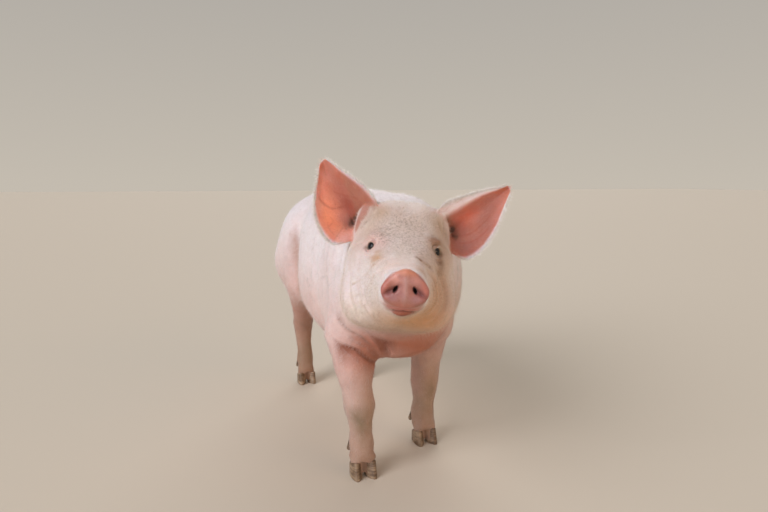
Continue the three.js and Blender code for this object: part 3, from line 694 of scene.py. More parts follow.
def earNormal(side, t, s):
    step = 0.01
    down = earPoint(side, t + step, s) - earPoint(side, t - step, s)
    across = earPoint(side, t, s + step) - earPoint(side, t, s - step)
    n = unit(np.cross(down, across))
    return n * np.sign(n[:, :1])  # the hollow side, which faces forwards


def earMesh(side):
    leaf = bmesh.new()
    bmesh.ops.create_cube(leaf, size=2)
    long = [e for e in leaf.edges if abs(e.verts[0].co.z - e.verts[1].co.z) < 0.1]
    bmesh.ops.subdivide_edges(leaf, edges=long, cuts=ear["cuts"], use_grid_fill=True)
    mesh = meshOf(leaf, "ear" + side)
    grid = pointsOf(mesh) / 1000
    t = (grid[:, 0] + 1) / 2
    s = (grid[:, 1] + 1) / 2
    t = t - ear["blunt"] * (2 * s - 1) ** 2 * ramp(0.8, 1, t)
    edge = np.minimum(1, 4 * np.minimum(s, 1 - s) ** 0.8 + 0.35)
    thick = ear["thickness"] * (1 - 0.5 * t) * edge * (1 + 0.6 * ramp(0.22, 0, t))
    place = earPoint(side, t, s) + earNormal(side, t, s) * (grid[:, 2] * thick / 2)[:, None]
    place[:, 0] -= 3 * ramp(0.12, 0, t)
    putPoints(mesh, fromHead(place))
    return facedOut(softened(newObject("ear" + side, mesh), 1))


def lidMargins():
    # the rounded edges of all four lids: a ring round each opening, lying on the eyeball
    ring = bmesh.new()
    upright = Matrix.Translation((3, 0, 0)) @ Matrix.Rotation(math.pi / 2, 4, "X")
    bmesh.ops.create_circle(ring, segments=12, radius=1, matrix=upright)
    bmesh.ops.spin(ring, geom=ring.verts[:] + ring.edges[:], axis=(0, 0, 1), cent=(0, 0, 0), steps=84,
                   angle=2 * math.pi, use_merge=True)
    bmesh.ops.remove_doubles(ring, verts=ring.verts, dist=1e-4)
    mesh = meshOf(ring, "lidRing")
    grid = pointsOf(mesh) / 1000
    turn = np.arctan2(grid[:, 1], grid[:, 0])
    outwards, above = np.hypot(grid[:, 0], grid[:, 1]) - 3, grid[:, 2]
    both = bmesh.new()
    for side, sign in sides.items():
        along, over, out = eyeAxes(sign)
        u = eye["halfLength"] * np.cos(turn)
        v = np.where(turn > 0, eye["upper"], eye["lower"]) * np.sin(turn)
        w = np.sqrt(eye["radius"] ** 2 - u * u - v * v)
        flat = u[:, None] * along + v[:, None] * over
        n = unit(flat + w[:, None] * out)
        away = unit(flat)
        away = unit(away - (away * n).sum(1, keepdims=True) * n)
        thick = eye["margin"] * (0.8 + 0.2 * np.sin(turn))
        place = n * (eye["radius"] - eye["sunk"] + thick * (0.35 + above))[:, None]
        place = place + away * (thick * (outwards + 0.35))[:, None]
        copy = mesh.copy()
        putPoints(copy, fromHead(place) - headPlace + eyePlace[side])
        both.from_mesh(copy)
    return facedOut(meshOf(both, "lidMargins"))


def tailMesh():
    return softened(newObject("tailShape", cadCopy(["tail"], -0.4)), 2)


def joined(base, addition):
    # one closed surface of two that overlap; the loop below softens it where they meet
    first = newObject("first", base)
    second = newObject("second", addition)
    union = first.modifiers.new("union", "BOOLEAN")
    union.operation = "UNION"
    union.solver = "MANIFOLD"
    union.object = second
    made = withModifiers(first)
    bpy.data.objects.remove(second)
    return made


def seamPoints(made, base, addition, reach):
    # which points of a joined surface lie near the line where both shapes meet
    trees = []
    for mesh in (base, addition):
        shape = bmesh.new()
        shape.from_mesh(mesh)
        trees.append(BVHTree.FromBMesh(shape))
        shape.free()
    places = pointsOf(made) / 1000
    boxLow = pointsOf(addition).min(0) - reach * 2
    boxHigh = pointsOf(addition).max(0) + reach * 2
    inBox = ((places * 1000 > boxLow) & (places * 1000 < boxHigh)).all(1)
    nearness = np.zeros(len(places))
    for i in np.flatnonzero(inBox):
        spot = Vector(places[i])
        far = max(tree.find_nearest(spot)[3] or 0 for tree in trees) * 1000
        nearness[i] = max(0, 1 - far / reach)
    return nearness


print("joining lids, ears and tail")
additions = [  # mesh, how far from the seam it is smoothed, rounds
    (lidMargins(), 1.8, 4), *[(earMesh(side), 11, 14) for side in sides], (tailMesh(), 14, 12),
]
for addition, reach, rounds in additions:
    kept = skinMesh.copy(), addition.copy()
    skinMesh = joined(skinMesh, addition)
    nearness = seamPoints(skinMesh, *kept, reach)
    points = relax(pointsOf(skinMesh), edgesOf(skinMesh), 0.6 * np.minimum(1, nearness * 2), rounds)
    putPoints(skinMesh, points)
print("skin", len(skinMesh.vertices), "points")

# fewer faces where the surface is plain
points = pointsOf(skinMesh)
q = toHead(points)
skinPiece = newObject("skin", skinMesh)
detail = ramp(-150, -90, q[:, 0]) * 0.5 + 0.5 * ramp(90, 120, q[:, 0]) + ramp(34, 24, eyeDistance(q))
plain = skinPiece.vertex_groups.new(name="plain")
weights = np.clip(1 - detail, 0.02, 1)
for level in np.linspace(0.05, 1, 12):
    chosen = np.flatnonzero(np.abs(weights - level) <= 0.044)
    plain.add(chosen.tolist(), float(level), "REPLACE")
triangles = triangleCount(skinMesh)
thin = skinPiece.modifiers.new("thin", "DECIMATE")
thin.ratio = min(1.0, skin["faces"] / triangles)
thin.vertex_group = "plain"
print("thinning from", triangles, "triangles")
skinMesh = withModifiers(skinPiece)
skinPiece = newObject("skin", skinMesh)
smoothShaded(skinMesh)
for group in list(skinPiece.vertex_groups):
    skinPiece.vertex_groups.remove(group)
points = pointsOf(skinMesh)
print("skin", len(points), "points,", triangleCount(skinMesh), "triangles")


# where each point lies on an ear: how close, from base to tip, across, and which face
def earGrid(side):
    t, s = np.meshgrid(np.linspace(0, 1, 90), np.linspace(0, 1, 90), indexing="ij")
    t, s = t.ravel(), s.ravel()
    return t, s, earPoint(side, t, s), earNormal(side, t, s)


earGrids = {side: earGrid(side) for side in sides}
earTrees = {side: treeOf(place) for side, (t, s, place, n) in earGrids.items()}


def earShares(points):
    q = toHead(points)
    share = np.zeros((len(points), 4))  # closeness, t, s, +1 on the hollow face
    maybe = np.flatnonzero((q[:, 0] > -150) & (q[:, 0] < -30) & (np.abs(q[:, 1]) > 40) & (q[:, 2] > -60))
    for i in maybe:
        side = "left" if q[i, 1] > 0 else "right"
        spot, k, d = earTrees[side].find(q[i])
        t, s, place, n = earGrids[side]
        offset = float((q[i] - place[k]) @ n[k])
        close = 1 - min(1, max(0, (d - 4) / 9))
        share[i] = close, t[k], s[k], math.copysign(1, offset)
    return share


# colour of skin and coat: real marks, painted shade and painted highlights, given by one function at any
# place
# several tones stand for painted shade or painted light rather than the pig's own colour: the warm darks of
# chest, armpits and throat, the darks of nostrils, mouth and ear canal, the ear-hollow shades, the disc's
# highlight and the ear's glow
tones = {
    "pale": (0.80, 0.65, 0.62),
    "white": (0.87, 0.85, 0.90),
    "cream": (0.86, 0.78, 0.72),
    "rose": (0.70, 0.42, 0.38),
    "flushAndShade": (0.48, 0.19, 0.12),
    "sand": (0.56, 0.43, 0.32),
    "tan": (0.50, 0.29, 0.15),
    "umber": (0.28, 0.15, 0.09),
    "earth": (0.20, 0.14, 0.085),
    "salmon": (0.70, 0.22, 0.13),
    "glow": (0.90, 0.36, 0.20),
    "earShadeAndVein": (0.38, 0.085, 0.05),
    "band": (0.80, 0.50, 0.46),
    "disc": (0.365, 0.122, 0.088),
    "discTop": (0.70, 0.28, 0.17),
    "discLight": (0.47, 0.18, 0.15),
    "discHighlight": (0.78, 0.40, 0.35),
    "discSide": (0.56, 0.19, 0.15),
    "mauve": (0.34, 0.15, 0.16),
    "dark": (0.03, 0.012, 0.012),
    "maroonShade": (0.13, 0.035, 0.035),
    "lilac": (0.42, 0.25, 0.30),
    "liver": (0.26, 0.075, 0.035),
    "ochre": (0.74, 0.33, 0.065),
    "rustShade": (0.46, 0.11, 0.03),
    "shin": (0.39, 0.185, 0.115),
    "olive": (0.20, 0.145, 0.075),
    "flap": (0.44, 0.16, 0.11),
    "earTan": (0.46, 0.19, 0.13),
    "earShade": (0.35, 0.125, 0.09),
    "bandPale": (1.0, 0.93, 1.0),
    "deep": (0.10, 0.045, 0.03),
    "earRed": (0.66, 0.16, 0.09),
}
# the reddish and brown patches over chest, armpits, throat and low on the sides are painted shade, warm as
# if lit from the floor; the shin patch and the tall rose patch on the right flank are painted shade on the
# ham behind the belly's edge
bodyPatches = [  # tone, share, centre and radii in body axes
    ("flushAndShade", 0.85, (-36, -436, 292), (80, 50, 40)),
    ("flushAndShade", 0.55, (80, -330, 268), (46, 70, 44)),
    ("flushAndShade", 0.50, (-60, -300, 258), (60, 70, 34)),
    ("liver", 0.75, (-112, -398, 286), (34, 30, 22)),
    ("liver", 0.60, (-80, -396, 256), (26, 30, 18)),
    ("rustShade", 0.90, (-60, -450, 306), (90, 60, 46)),
    ("rustShade", 0.80, (36, -450, 300), (60, 60, 40)),
    ("rustShade", 0.60, (-40, -400, 262), (80, 60, 30)),
    ("rustShade", 0.50, (20, -490, 345), (90, 50, 34)),
    ("rustShade", 0.55, (-60, -530, 352), (100, 50, 34)),
    ("rose", 0.85, (-46, -450, 294), (17, 24, 15)),
    ("flushAndShade", 0.45, (60, -400, 320), (50, 50, 40)),
    ("flushAndShade", 0.30, (110, -300, 330), (40, 60, 60)),
    ("tan", 0.35, (110, -380, 380), (60, 90, 90)),
    ("flushAndShade", 0.35, (-92, 200, 230), (60, 60, 90)),
    ("rose", 0.35, (-150, -30, 300), (40, 200, 50)),
    ("umber", 0.35, (90, -262, 110), (50, 50, 90)),
    ("rose", 0.50, (0, 345, 500), (30, 30, 60)),
    ("shin", 0.50, (-140, 195, 330), (60, 60, 100)),
    ("rose", 0.50, (-142, 130, 400), (40, 28, 130)),
    ("rose", 0.25, (-150, -340, 340), (50, 60, 60)),
]
lowPatches = [  # the same, over the tones of the legs
    ("rose", 0.40, (68, -280, 160), (18, 40, 40)),
    ("tan", 0.45, (104, -292, 160), (20, 40, 60)),
    ("tan", 0.35, (-86, -404, 150), (16, 30, 40)),
    ("rose", 0.35, (-124, -396, 96), (18, 30, 26)),
    ("umber", 0.40, (-92, 262, 150), (50, 50, 80)),
    ("umber", 0.30, (80, 262, 150), (50, 50, 80)),
]
bodyFoldShades = [  # folds as lines of painted shade over the body: tone, share, width, path
    ("liver", 0.90, 3.8, [
        (-135, -385, 296), (-123, -394, 290), (-112, -393, 284), (-98, -398, 272), (-84, -397, 258)]),
    ("liver", 0.45, 3.4, [(-141, -376, 344), (-117, -410, 318), (-95, -424, 296)]),
    ("liver", 0.80, 3.6, [(-73, -452, 330), (-68, -448, 306), (-57, -430, 280)]),
    ("liver", 0.60, 3.6, [(99, -346, 312), (77, -352, 284), (57, -340, 262)]),
    ("shin", 0.60, 3.0, [(-136, 102, 470), (-136, 100, 400), (-130, 104, 340), (-116, 98, 300)]),
]
headPatches = [  # tone, share, centre and radii in head axes
    ("tan", 0.22, (-20, 0, 20), (110, 100, 90)),
    ("tan", 0.25, (50, -6, -6), (40, 40, 18)),
    # painted shade on the forehead at the base of the right ear
    ("tan", 0.70, (-54, -43, 64), (24, 20, 24)),
    ("tan", 0.30, (-30, -84, 2), (40, 24, 30)),
    ("tan", 0.28, (54, -44, -22), (30, 16, 16)),
    ("cream", 0.35, (10, -34, -120), (60, 26, 22)),
    ("tan", 0.34, (-30, -56, 30), (36, 22, 30)),
    ("tan", 0.30, (-24, 72, 8), (40, 22, 30)),
    ("tan", 0.25, (64, 24, -16), (40, 26, 14)),
    ("sand", 0.45, (-20, 6, 50), (80, 70, 50)),
    ("sand", 0.40, (-46, -66, 40), (30, 22, 40)),
    ("cream", 0.40, (60, -5, -6), (40, 16, 20)),
    ("cream", 0.50, (-60, 10, 90), (50, 46, 20)),
    # down the left cheek, jowl, chin and throat: painted shade, warm as if lit from the floor, with some
    # dirt
    ("sand", 0.30, (40, 52, -30), (50, 30, 40)),
    ("ochre", 0.50, (20, 66, -70), (80, 34, 50)),
    ("umber", 0.20, (10, 72, -60), (60, 26, 50)),
    ("ochre", 0.85, (60, 20, -116), (90, 56, 26)),
    ("ochre", 0.55, (-10, 40, -130), (90, 70, 30)),
    ("rustShade", 0.60, (-110, 20, -162), (70, 100, 24)),
    ("tan", 0.35, (-50, 20, -150), (80, 90, 26)),
    ("tan", 0.45, (36, 44, -98), (60, 22, 16)),
    # painted shade under the disc's left corner
    ("umber", 0.50, (146, 20, -90), (24, 16, 8)),
    ("tan", 0.70, (140, 14, -104), (34, 22, 12)),
    ("rose", 0.50, (4, -56, 8), (34, 22, 20)),
    ("rose", 0.35, (28, -40, 4), (20, 16, 14)),
    ("rose", 0.25, (6, 58, 4), (30, 18, 18)),
    ("tan", 0.50, (0, 60, 2), (26, 22, 28)),
    # painted shade above and beside the left eye, with a brown patch
    ("umber", 0.95, (4, 53, 18), (17, 18, 12)),
    ("umber", 0.80, (-7, 60, 10), (14, 11, 12)),
    ("sand", 0.70, (-51, 64, 49), (24, 18, 30)),
    ("tan", 0.30, (-51, 62, 47), (20, 16, 26)),
    ("cream", 0.85, (-20, -72, -116), (46, 30, 26)),
    # painted shade under the left eye
    ("umber", 0.65, (14, 61, -20), (15, 12, 18)),
    ("earth", 0.60, (11, 62, -18), (9, 8, 13)),
    ("sand", 0.55, (-18, 64, 10), (36, 20, 42)),
    # painted shade where the ears meet the head
    ("earth", 0.45, (-66, 82, 34), (12, 14, 22)),
    ("earth", 0.30, (-64, -84, 46), (10, 12, 20)),
    ("cream", 0.35, (60, -46, -60), (60, 26, 44)),
    ("ochre", 0.22, (118, -8, -26), (44, 30, 18)),
    # painted shade on the left side of the snout
    ("tan", 0.60, (130, 24, -34), (20, 11, 12)),
    ("ochre", 0.14, (104, -26, -36), (30, 14, 16)),
    # more painted shade over and under the left eye
    ("shin", 0.65, (1, 56, 18), (13, 13, 9)),
    ("shin", 0.35, (16, 61, -17), (14, 10, 12)),
]
marks = [  # lines over the head, stain and painted shade along folds: tone, share, width, path
    ("umber", 0.55, 2.6, [(-69, -56, 80), (-53, -60, 58), (-54, -70, 42), (-54, -79, 31)]),
    ("tan", 0.80, 2.4, [(60, -44, -24), (44, -54, -37), (12, -67, -54), (-15, -82, -69)]),
    ("flushAndShade", 0.45, 2.6, [(-30, -84, 6), (-38, -92, -20), (-40, -96, -48)]),
    ("umber", 1.00, 4.6, [(80, 20, -14), (78, 32, -22), (64, 43, -28)]),
    ("umber", 0.55, 4.0, [(30, 54, -16), (22, 62, -34), (30, 60, -50)]),
    ("sand", 0.50, 3.0, [(36, -46, -6), (57, -38, -14), (93, -30, -24)]),
    ("tan", 0.30, 5.0, [(20, 64, -60), (16, 62, -84), (30, 50, -104)]),
    ("tan", 0.30, 6.0, [(-8, 78, -60), (-12, 78, -90), (-14, 60, -122)]),
]


flap = [(-80, -71, 82), (-68, -73, 68), (-63, -76, 56), (-66, -81, 44), (-70, -86, 33)]  # of the right ear
dirtSpots = [  # on the legs
    (-104, -406, 142), (-116, -398, 112), (94, -292, 150), (88, -290, 96), (-100, 262, 84), (92, 290, 190),
]


def onFlap(points):
    d, along = lineDistance(toHead(points), smoothPath(flap, 12))
    return ramp(13, 6, d)


def speckled(points):
    # where grey-brown specks gather: forehead most, the bridge and cheeks less
    q = toHead(points)
    share = 0.62 * near(q, (-22, 4, 40), (40, 56, 34)) + 0.60 * near(q, (24, 2, 8), (26, 44, 16))
    share += 0.45 * near(q, (0, -40, 20), (30, 20, 20)) + 0.45 * near(q, (56, 10, -6), (26, 40, 14))
    share += 0.40 * near(q, (40, -40, -60), (60, 40, 40)) + 0.30 * near(q, (20, 55, -50), (50, 40, 50))
    return np.clip(share, 0, 1) * ramp(-120, -80, q[:, 0])


def paint(colour, name, share):
    share = np.clip(share, 0, 1)[:, None]
    return colour + (np.array(tones[name]) - colour) * share


def painted(colour, layers):
    for name, share in layers:
        colour = paint(colour, name, share)
    return colour


def patchesAt(points, patches, gain=1.0):
    return [(name, gain * share * near(points, centre, radii)) for name, share, centre, radii in patches]


def bodyMarkingsAndShading(colour, points):
    p = points - bodyShift
    height = p[:, 2]
    offHead = 1 - ramp(-125, -85, toHead(points)[:, 0])
    hindLegs = ramp(150, 200, p[:, 1])
    patchy = 0.5 + 0.5 * waves(p, 60, 23)
    dirt = 0.50 + 0.50 * waves(p, 24, 24)
    return painted(colour, [
        ("white", 0.70 * ramp(300, 480, height) + 0.12 * waves(p, 150, 21)),
        ("rose", 0.14 + 0.14 * waves(p, 210, 22) - 0.2 * ramp(400, 560, height)),
        # painted shade under the belly, with its pinker skin
        ("rose", 0.45 * ramp(340, 250, height) * ramp(190, 250, height)),
        *patchesAt(p, bodyPatches, offHead),
        # painted shade along the body's folds
        *[(name, offHead * share * bell(lineDistance(p, path)[0], width))
          for name, share, width, path in bodyLines],
        ("flushAndShade", 0.42 * hindLegs * ramp(340, 240, height)),
        ("shin", (0.42 + 0.2 * hindLegs) * ramp(310, 190, height) * offHead),
        ("shin", 0.25 * near(p, (-80, -400, 210), (26, 40, 120))),
        ("umber", 0.26 * ramp(230, 120, height) * offHead * (1 + 0.4 * hindLegs)),
        ("sand", ramp(215, 70, height) * offHead * (0.15 + 0.35 * patchy)),
        ("umber", ramp(140, 40, height) * (0.30 + 0.40 * patchy)),
        *patchesAt(p, lowPatches),
        *[("olive", dirt * near(p, spot, (28, 30, 30))) for spot in dirtSpots],
    ])


def headMarkingsAndShading(colour, points):
    q = toHead(points)
    stain = near(q, (46, -46, -18), (18, 12, 10)) * (0.6 + 0.6 * waves(q, 14, 25))
    colour = painted(colour, [
        *patchesAt(q, headPatches, ramp(-125, -85, q[:, 0])), ("tan", 0.9 * stain), ("ochre", 0.3 * stain),
    ])
    for name, share, width, path in marks:
        d, along = lineDistance(q, smoothPath(path, 12))
        colour = paint(colour, name, share * bell(d, width) * (0.65 + 0.5 * waves(q, 12, 26)))
    return paint(colour, "flap", 0.85 * onFlap(points))


# the left lids' umber ring is painted shade in the socket of the left eye; the right lids' rose is the
# skin's own pink
lidTones = {"right": "rose", "left": "umber"}


def eyeMarkingsAndShading(colour, points):
    q = toHead(points)
    for side, sign in sides.items():
        along, over, out = eyeAxes(sign)
        local = q - toHead(eyePlace[side][None])
        ring = np.hypot(local @ along / 11, local @ over / 8)
        facing = ramp(2, 5, local @ out)
        colour = painted(colour, [
            (lidTones[side], 0.6 * facing * bell(ring - 1.0, 0.3)),
            # painted shade where the skin drops behind the eyeball, then the brown at the tear corner
            ("earth", 0.85 * facing * bell(ring - 0.74, 0.16)),
            ("earth", 0.65 * near(local, -along * 12 + out * 9, (5, 5, 4))),
        ])
    return colour


def snoutMarkingsAndShading(colour, points):
    q = toHead(points)
    folded = foldedOver(q)
    d = discDistance(q)
    soft = ramp(-50, -38, q[:, 2])  # the disc fades into the bridge at its top
    onDisc = ramp(6.5 + 3 * soft, -0.5 - 0.6 * soft, d)
    onDisc *= ramp(disc["tip"] - 18 - 4 * soft, disc["tip"] - 6, q[:, 0])
    across, height = folded[:, 1], q[:, 2]
    hole, slit = nostrilShares(q, (8.5, 5.2))
    inFront = (q[:, 0] > disc["tip"] - 30) & (height > -85)
    d, share = lineDistance(folded, mouthPath)
    lip = near(q, (154, -3, -98), (13, 17, 7))
    return painted(colour, [
        ("disc", onDisc * 0.95),
        # painted highlight above each nostril
        ("discHighlight", onDisc * 0.45 * near(folded, (168, 13, -48), (16, 14, 9))),
        ("discTop", onDisc * ramp(-45, -35, height) * 0.8),
        # painted highlight on the upper left of the disc
        ("discHighlight", onDisc * 0.85 * near(q, (165, -15, -44), (16, 9, 7))),
        ("discLight", onDisc * 0.35 * bell(across, 9) * ramp(-42, -60, height)),
        ("discSide", onDisc * 0.8 * ramp(16, 32, across)),
        ("mauve", onDisc * 0.25 * ramp(16, 34, across) * ramp(-50, -75, height)),
        ("mauve", onDisc * 0.35 * ramp(0.0, 0.9, waves(q, 16, 32))),
        # painted shade: the disc darker towards its bottom
        ("umber", onDisc * 0.50 * ramp(-68, -86, height)),
        ("lilac", onDisc * 0.45 * near(folded, (165, 17, -74), (20, 9, 6))),
        # painted shade in the grooves beside the nostrils, round their rims and deep in them
        ("maroonShade", onDisc * 0.80 * np.exp(-(slit**2))),
        ("maroonShade", inFront * 0.8 * ramp(1.7, 0.9, hole)),
        ("dark", inFront * ramp(1.25, 0.45, hole)),
        ("discSide", np.minimum(1.6 * near(q, (154, -2, -88), (16, 27, 7)), 0.9)),
        # painted shade along the mouth line, then the lower lip: its own colour with painted shade
        ("maroonShade", 0.85 * bell(d, 2.2) * ramp(1, 0.6, share)),
        ("disc", np.minimum(1.3 * lip, 1)),
        ("liver", 0.70 * lip),
    ])


# in the hollows the darkest patches and the earShade patches are painted shade, and the glow patch on the
# right ear is painted light shining through it
earPatches = {  # tone, share, centre and radii as shares from base to tip and from lower to upper edge
    "right": [
        ("earTan", 0.55, (0.85, 0.75), (0.35, 0.35)), ("glow", 0.75, (0.49, 0.24), (0.24, 0.24)),
        ("rose", 0.45, (0.70, 0.08), (0.16, 0.09)), ("earShadeAndVein", 0.98, (0.42, 0.63), (0.17, 0.16)),
        ("mauve", 0.40, (0.37, 0.41), (0.10, 0.12)), ("band", 0.50, (0.22, 0.12), (0.09, 0.16)),
        ("earShade", 0.40, (0.62, 0.80), (0.20, 0.24)), ("earTan", 0.40, (0.95, 0.5), (0.12, 0.6)),
    ],
    "left": [
        ("earShade", 0.80, (0.45, 0.15), (0.45, 0.34)), ("earShade", 0.55, (0.70, 0.45), (0.24, 0.24)),
        ("earRed", 0.90, (0.48, 0.66), (0.17, 0.11)), ("earShadeAndVein", 0.45, (0.38, 0.45), (0.10, 0.12)),
        ("mauve", 0.30, (0.28, 0.18), (0.10, 0.14)), ("earShade", 0.60, (0.72, 0.62), (0.24, 0.24)),
        ("earTan", 0.60, (0.96, 0.5), (0.12, 0.6)), ("earShade", 0.60, (0.30, 0.45), (0.12, 0.22)),
        ("umber", 0.75, (0.23, 0.76), (0.07, 0.16)), ("earShadeAndVein", 0.75, (0.36, 0.57), (0.06, 0.10)),
    ],
}
earLines = {  # veins, and painted shade along folds: tone, share, width in millimetres, path
    "right": [
        ("earShadeAndVein", 0.45, 1.6, [(0.70, 0.12), (0.52, 0.36), (0.44, 0.58)]),
        ("earTan", 0.55, 1.4, [(0.30, 0.0), (0.31, 0.14), (0.33, 0.30)]),
        ("earShadeAndVein", 0.30, 1.3, [(0.62, 0.55), (0.50, 0.70), (0.40, 0.80)]),
    ],
    "left": [
        ("earShadeAndVein", 0.45, 1.6, [(0.28, 0.30), (0.42, 0.20), (0.60, 0.16)]),
        ("earShadeAndVein", 0.35, 1.4, [(0.30, 0.42), (0.45, 0.34), (0.66, 0.32)]),
    ],
}


earMargins = {"right": ("earTan", -0.05, 0.04), "left": ("bandPale", -0.07, 0.05)}  # tone, from, to
earSpan = [150, 90]  # millimetres from base to tip, and across
rimFrom = (0.14, 0.28)  # where along an ear its pale rim begins


def earEdge(onEar, low, high):
    # 1 along the lower and the upper edge of an ear
    return np.maximum(ramp(low, 0.0, onEar[:, 2]), ramp(high, 1.0, onEar[:, 2]))


def earMarkingsAndShading(colour, points, onEar):
    q = toHead(points)
    close, t, s, face = onEar.T
    atRoot = ramp(0.20, 0.08, t) * ramp(0.75, 0.9, s)
    for side, sign in sides.items():
        hollow = close * (face > 0) * (q[:, 1] * sign > 0) * (1 - atRoot)
        colour = paint(colour, "salmon", hollow * (0.86 + 0.10 * waves(q, 40, 29)))
        for name, share, centre, radii in earPatches[side]:
            colour = paint(colour, name, hollow * share * nearFlat(t, s, centre, radii))
        name, low, high = earMargins[side]
        rolled = ramp(low, high, s - rollAt(side, t))
        if side == "right":
            rolled = rolled * ramp(0.85, 0.6, t)
        colour = paint(colour, name, hollow * 0.9 * rolled)
        for name, share, width, path in earLines[side]:
            d, along = lineDistance(np.column_stack([t, s]) * earSpan, smoothPath(path, 9) * earSpan)
            colour = paint(colour, name, hollow * share * bell(d, width))
        # painted shade in the ear canal and its folds
        folds = ramp(-0.3, 0.5, np.sin(s * 42 + 5 * np.sin(9 * t) + 2 * waves(q, 20, 31)))
        canal = np.clip(1.3 * nearFlat(t, s, (0.27, 0.50), (0.065, 0.15)), 0, 1)
        colour = paint(colour, "liver", hollow * 0.8 * canal)
        colour = paint(colour, "deep", hollow * (0.30 + 0.65 * folds) * canal**2)
    hollow = close * (face > 0)
    rim = np.maximum(earEdge(onEar, 0.06, 0.93), ramp(0.95, 1, t)) * ramp(*rimFrom, t)
    colour = paint(colour, "white", hollow * 0.9 * rim)
    vein = np.abs(np.sin((s * 5.2 + 0.35 * np.sin(t * 7) + 0.25 * waves(q, 30, 30)) * math.pi))
    colour = paint(colour, "earShadeAndVein", hollow * 0.22 * ramp(0.16, 0.0, vein) * ramp(0.05, 0.2, t))
    return paint(colour, "rose", close * (face < 0) * 0.4)


def markingsAndShading(points, onEar):
    colour = np.tile(np.array(tones["pale"]), (len(points), 1))
    colour = headMarkingsAndShading(bodyMarkingsAndShading(colour, points), points)
    return earMarkingsAndShading(snoutMarkingsAndShading(eyeMarkingsAndShading(colour, points), points), points, onEar)


print("painting the skin")
skinTree = treeOf(points - bodyShift)
bodyLines = []
for name, share, width, path in bodyFoldShades:
    onSurface = [skinTree.find(spot)[0] for spot in smoothPath(path, 14)]
    bodyLines.append((name, share, width, np.array(onSurface)))
onEar = earShares(points)
colour = markingsAndShading(points, onEar)


def putColour(mesh, name, values):
    layer = mesh.color_attributes.new(name, "FLOAT_COLOR", "POINT")
    rgba = np.ones((len(mesh.vertices), 4), np.float32)
    rgba[:, :3] = values
    layer.data.foreach_set("color", rgba.ravel())


def putValue(mesh, name, values):
    layer = mesh.attributes.new(name, "FLOAT", "POINT")
    layer.data.foreach_set("value", values.astype(np.float32))


q = toHead(points)
putColour(skinMesh, "tone", colour)
onBand = ramp(-0.07, 0.05, onEar[:, 2] - rollAt("left", onEar[:, 1])) * (q[:, 1] > 0) * (onEar[:, 3] > 0)
putValue(skinMesh, "thinness", onEar[:, 0] * ramp(0.0, 0.25, onEar[:, 1]) * (1 - 0.9 * onBand))
wetness = ramp(4.5, 1.0, discDistance(q)) * ramp(disc["tip"] - 19, disc["tip"] - 13, q[:, 0])
putValue(skinMesh, "bare", wetness)
putValue(skinMesh, "speckled", speckled(points))


# materials
def newMaterial(name):
    material = bpy.data.materials.new(name)
    material.use_nodes = True
    tree = material.node_tree
    return material, tree, tree.nodes["Principled BSDF"]


def addNode(tree, kind, **settings):
    node = tree.nodes.new("ShaderNode" + kind)
    for key, value in settings.items():
        if key in node.inputs:
            node.inputs[key].default_value = value
        else:
            setattr(node, key, value)
    return node


def setSockets(node, values):
    for key, value in values.items():
        node.inputs[key].default_value = value


def noiseOver(tree, place, **settings):
    node = addNode(tree, "TexNoise", **settings)
    tree.links.new(place, node.inputs["Vector"])
    return node.outputs["Fac"]


def stretched(tree, place, scale):
    node = addNode(tree, "Mapping", Scale=scale)
    tree.links.new(place, node.inputs["Vector"])
    return node.outputs["Vector"]


def surfaceValue(tree, name, output="Fac"):
    return addNode(tree, "Attribute", attribute_name=name).outputs[output]


def tinted(tree, value, *stops):
    # a colour ramp over a value: its first stop, its last, and any between them
    node = addNode(tree, "ValToRGB")
    elements = node.color_ramp.elements
    for i, (place, shade) in enumerate(stops):
        stop = elements[i] if i < 2 else elements.new(place)
        stop.position, stop.color = place, (*shade, 1)
    tree.links.new(value, node.inputs["Fac"])
    return node.outputs["Color"]


def multiplied(tree, first, second, share=1.0):
    node = addNode(tree, "Mix", data_type="RGBA", blend_type="MULTIPLY")
    if isinstance(share, float):
        node.inputs[0].default_value = share
    else:
        tree.links.new(share, node.inputs[0])
    tree.links.new(first, node.inputs[6])
    tree.links.new(second, node.inputs[7])
    return node.outputs[2]


def addedShare(tree, value, share, base):
    # value times share, plus base
    node = addNode(tree, "Math", operation="MULTIPLY_ADD")
    tree.links.new(value, node.inputs[0])
    node.inputs[1].default_value = share
    tree.links.new(base, node.inputs[2])
    return node.outputs[0]


def ranged(tree, value, low, high):
    node = addNode(tree, "MapRange", **{"To Min": low, "To Max": high})
    tree.links.new(value, node.inputs["Value"])
    return node.outputs["Result"]


def addBump(tree, shader, height, distance):
    bump = addNode(tree, "Bump", Strength=0.5, Distance=distance)
    tree.links.new(height, bump.inputs["Height"])
    tree.links.new(bump.outputs["Normal"], shader.inputs["Normal"])


skinLayers = [  # noise scale, detail and roughness, its two shades, and how much of it shows
    (55.0, 5.0, 0.6, (0.32, (0.94, 0.90, 0.885)), (0.68, (1.04, 1.035, 1.03)), 1.0),
    (420.0, 3.0, 0.7, (0.30, (0.72, 0.64, 0.58)), (0.46, (1, 1, 1)), 0.55),
    (250.0, 4.0, 0.6, (0.38, (0.46, 0.40, 0.31)), (0.52, (1, 1, 1)), "speckled"),
]
skinFinish = {
    "hairStretch": (1.0, 0.28, 0.75), "cellShare": 0.45, "bump": 0.0011,
    "roughness": (0.62, 0.36), "translucence": (0.14, 0.75),  # dry and wet, thick and thin
    "sockets": {
        "Subsurface Radius": (1.0, 0.38, 0.22), "Subsurface Scale": 0.006, "Sheen Weight": 0.12,
        "Sheen Roughness": 0.5, "Specular IOR Level": 0.4,
    },
}


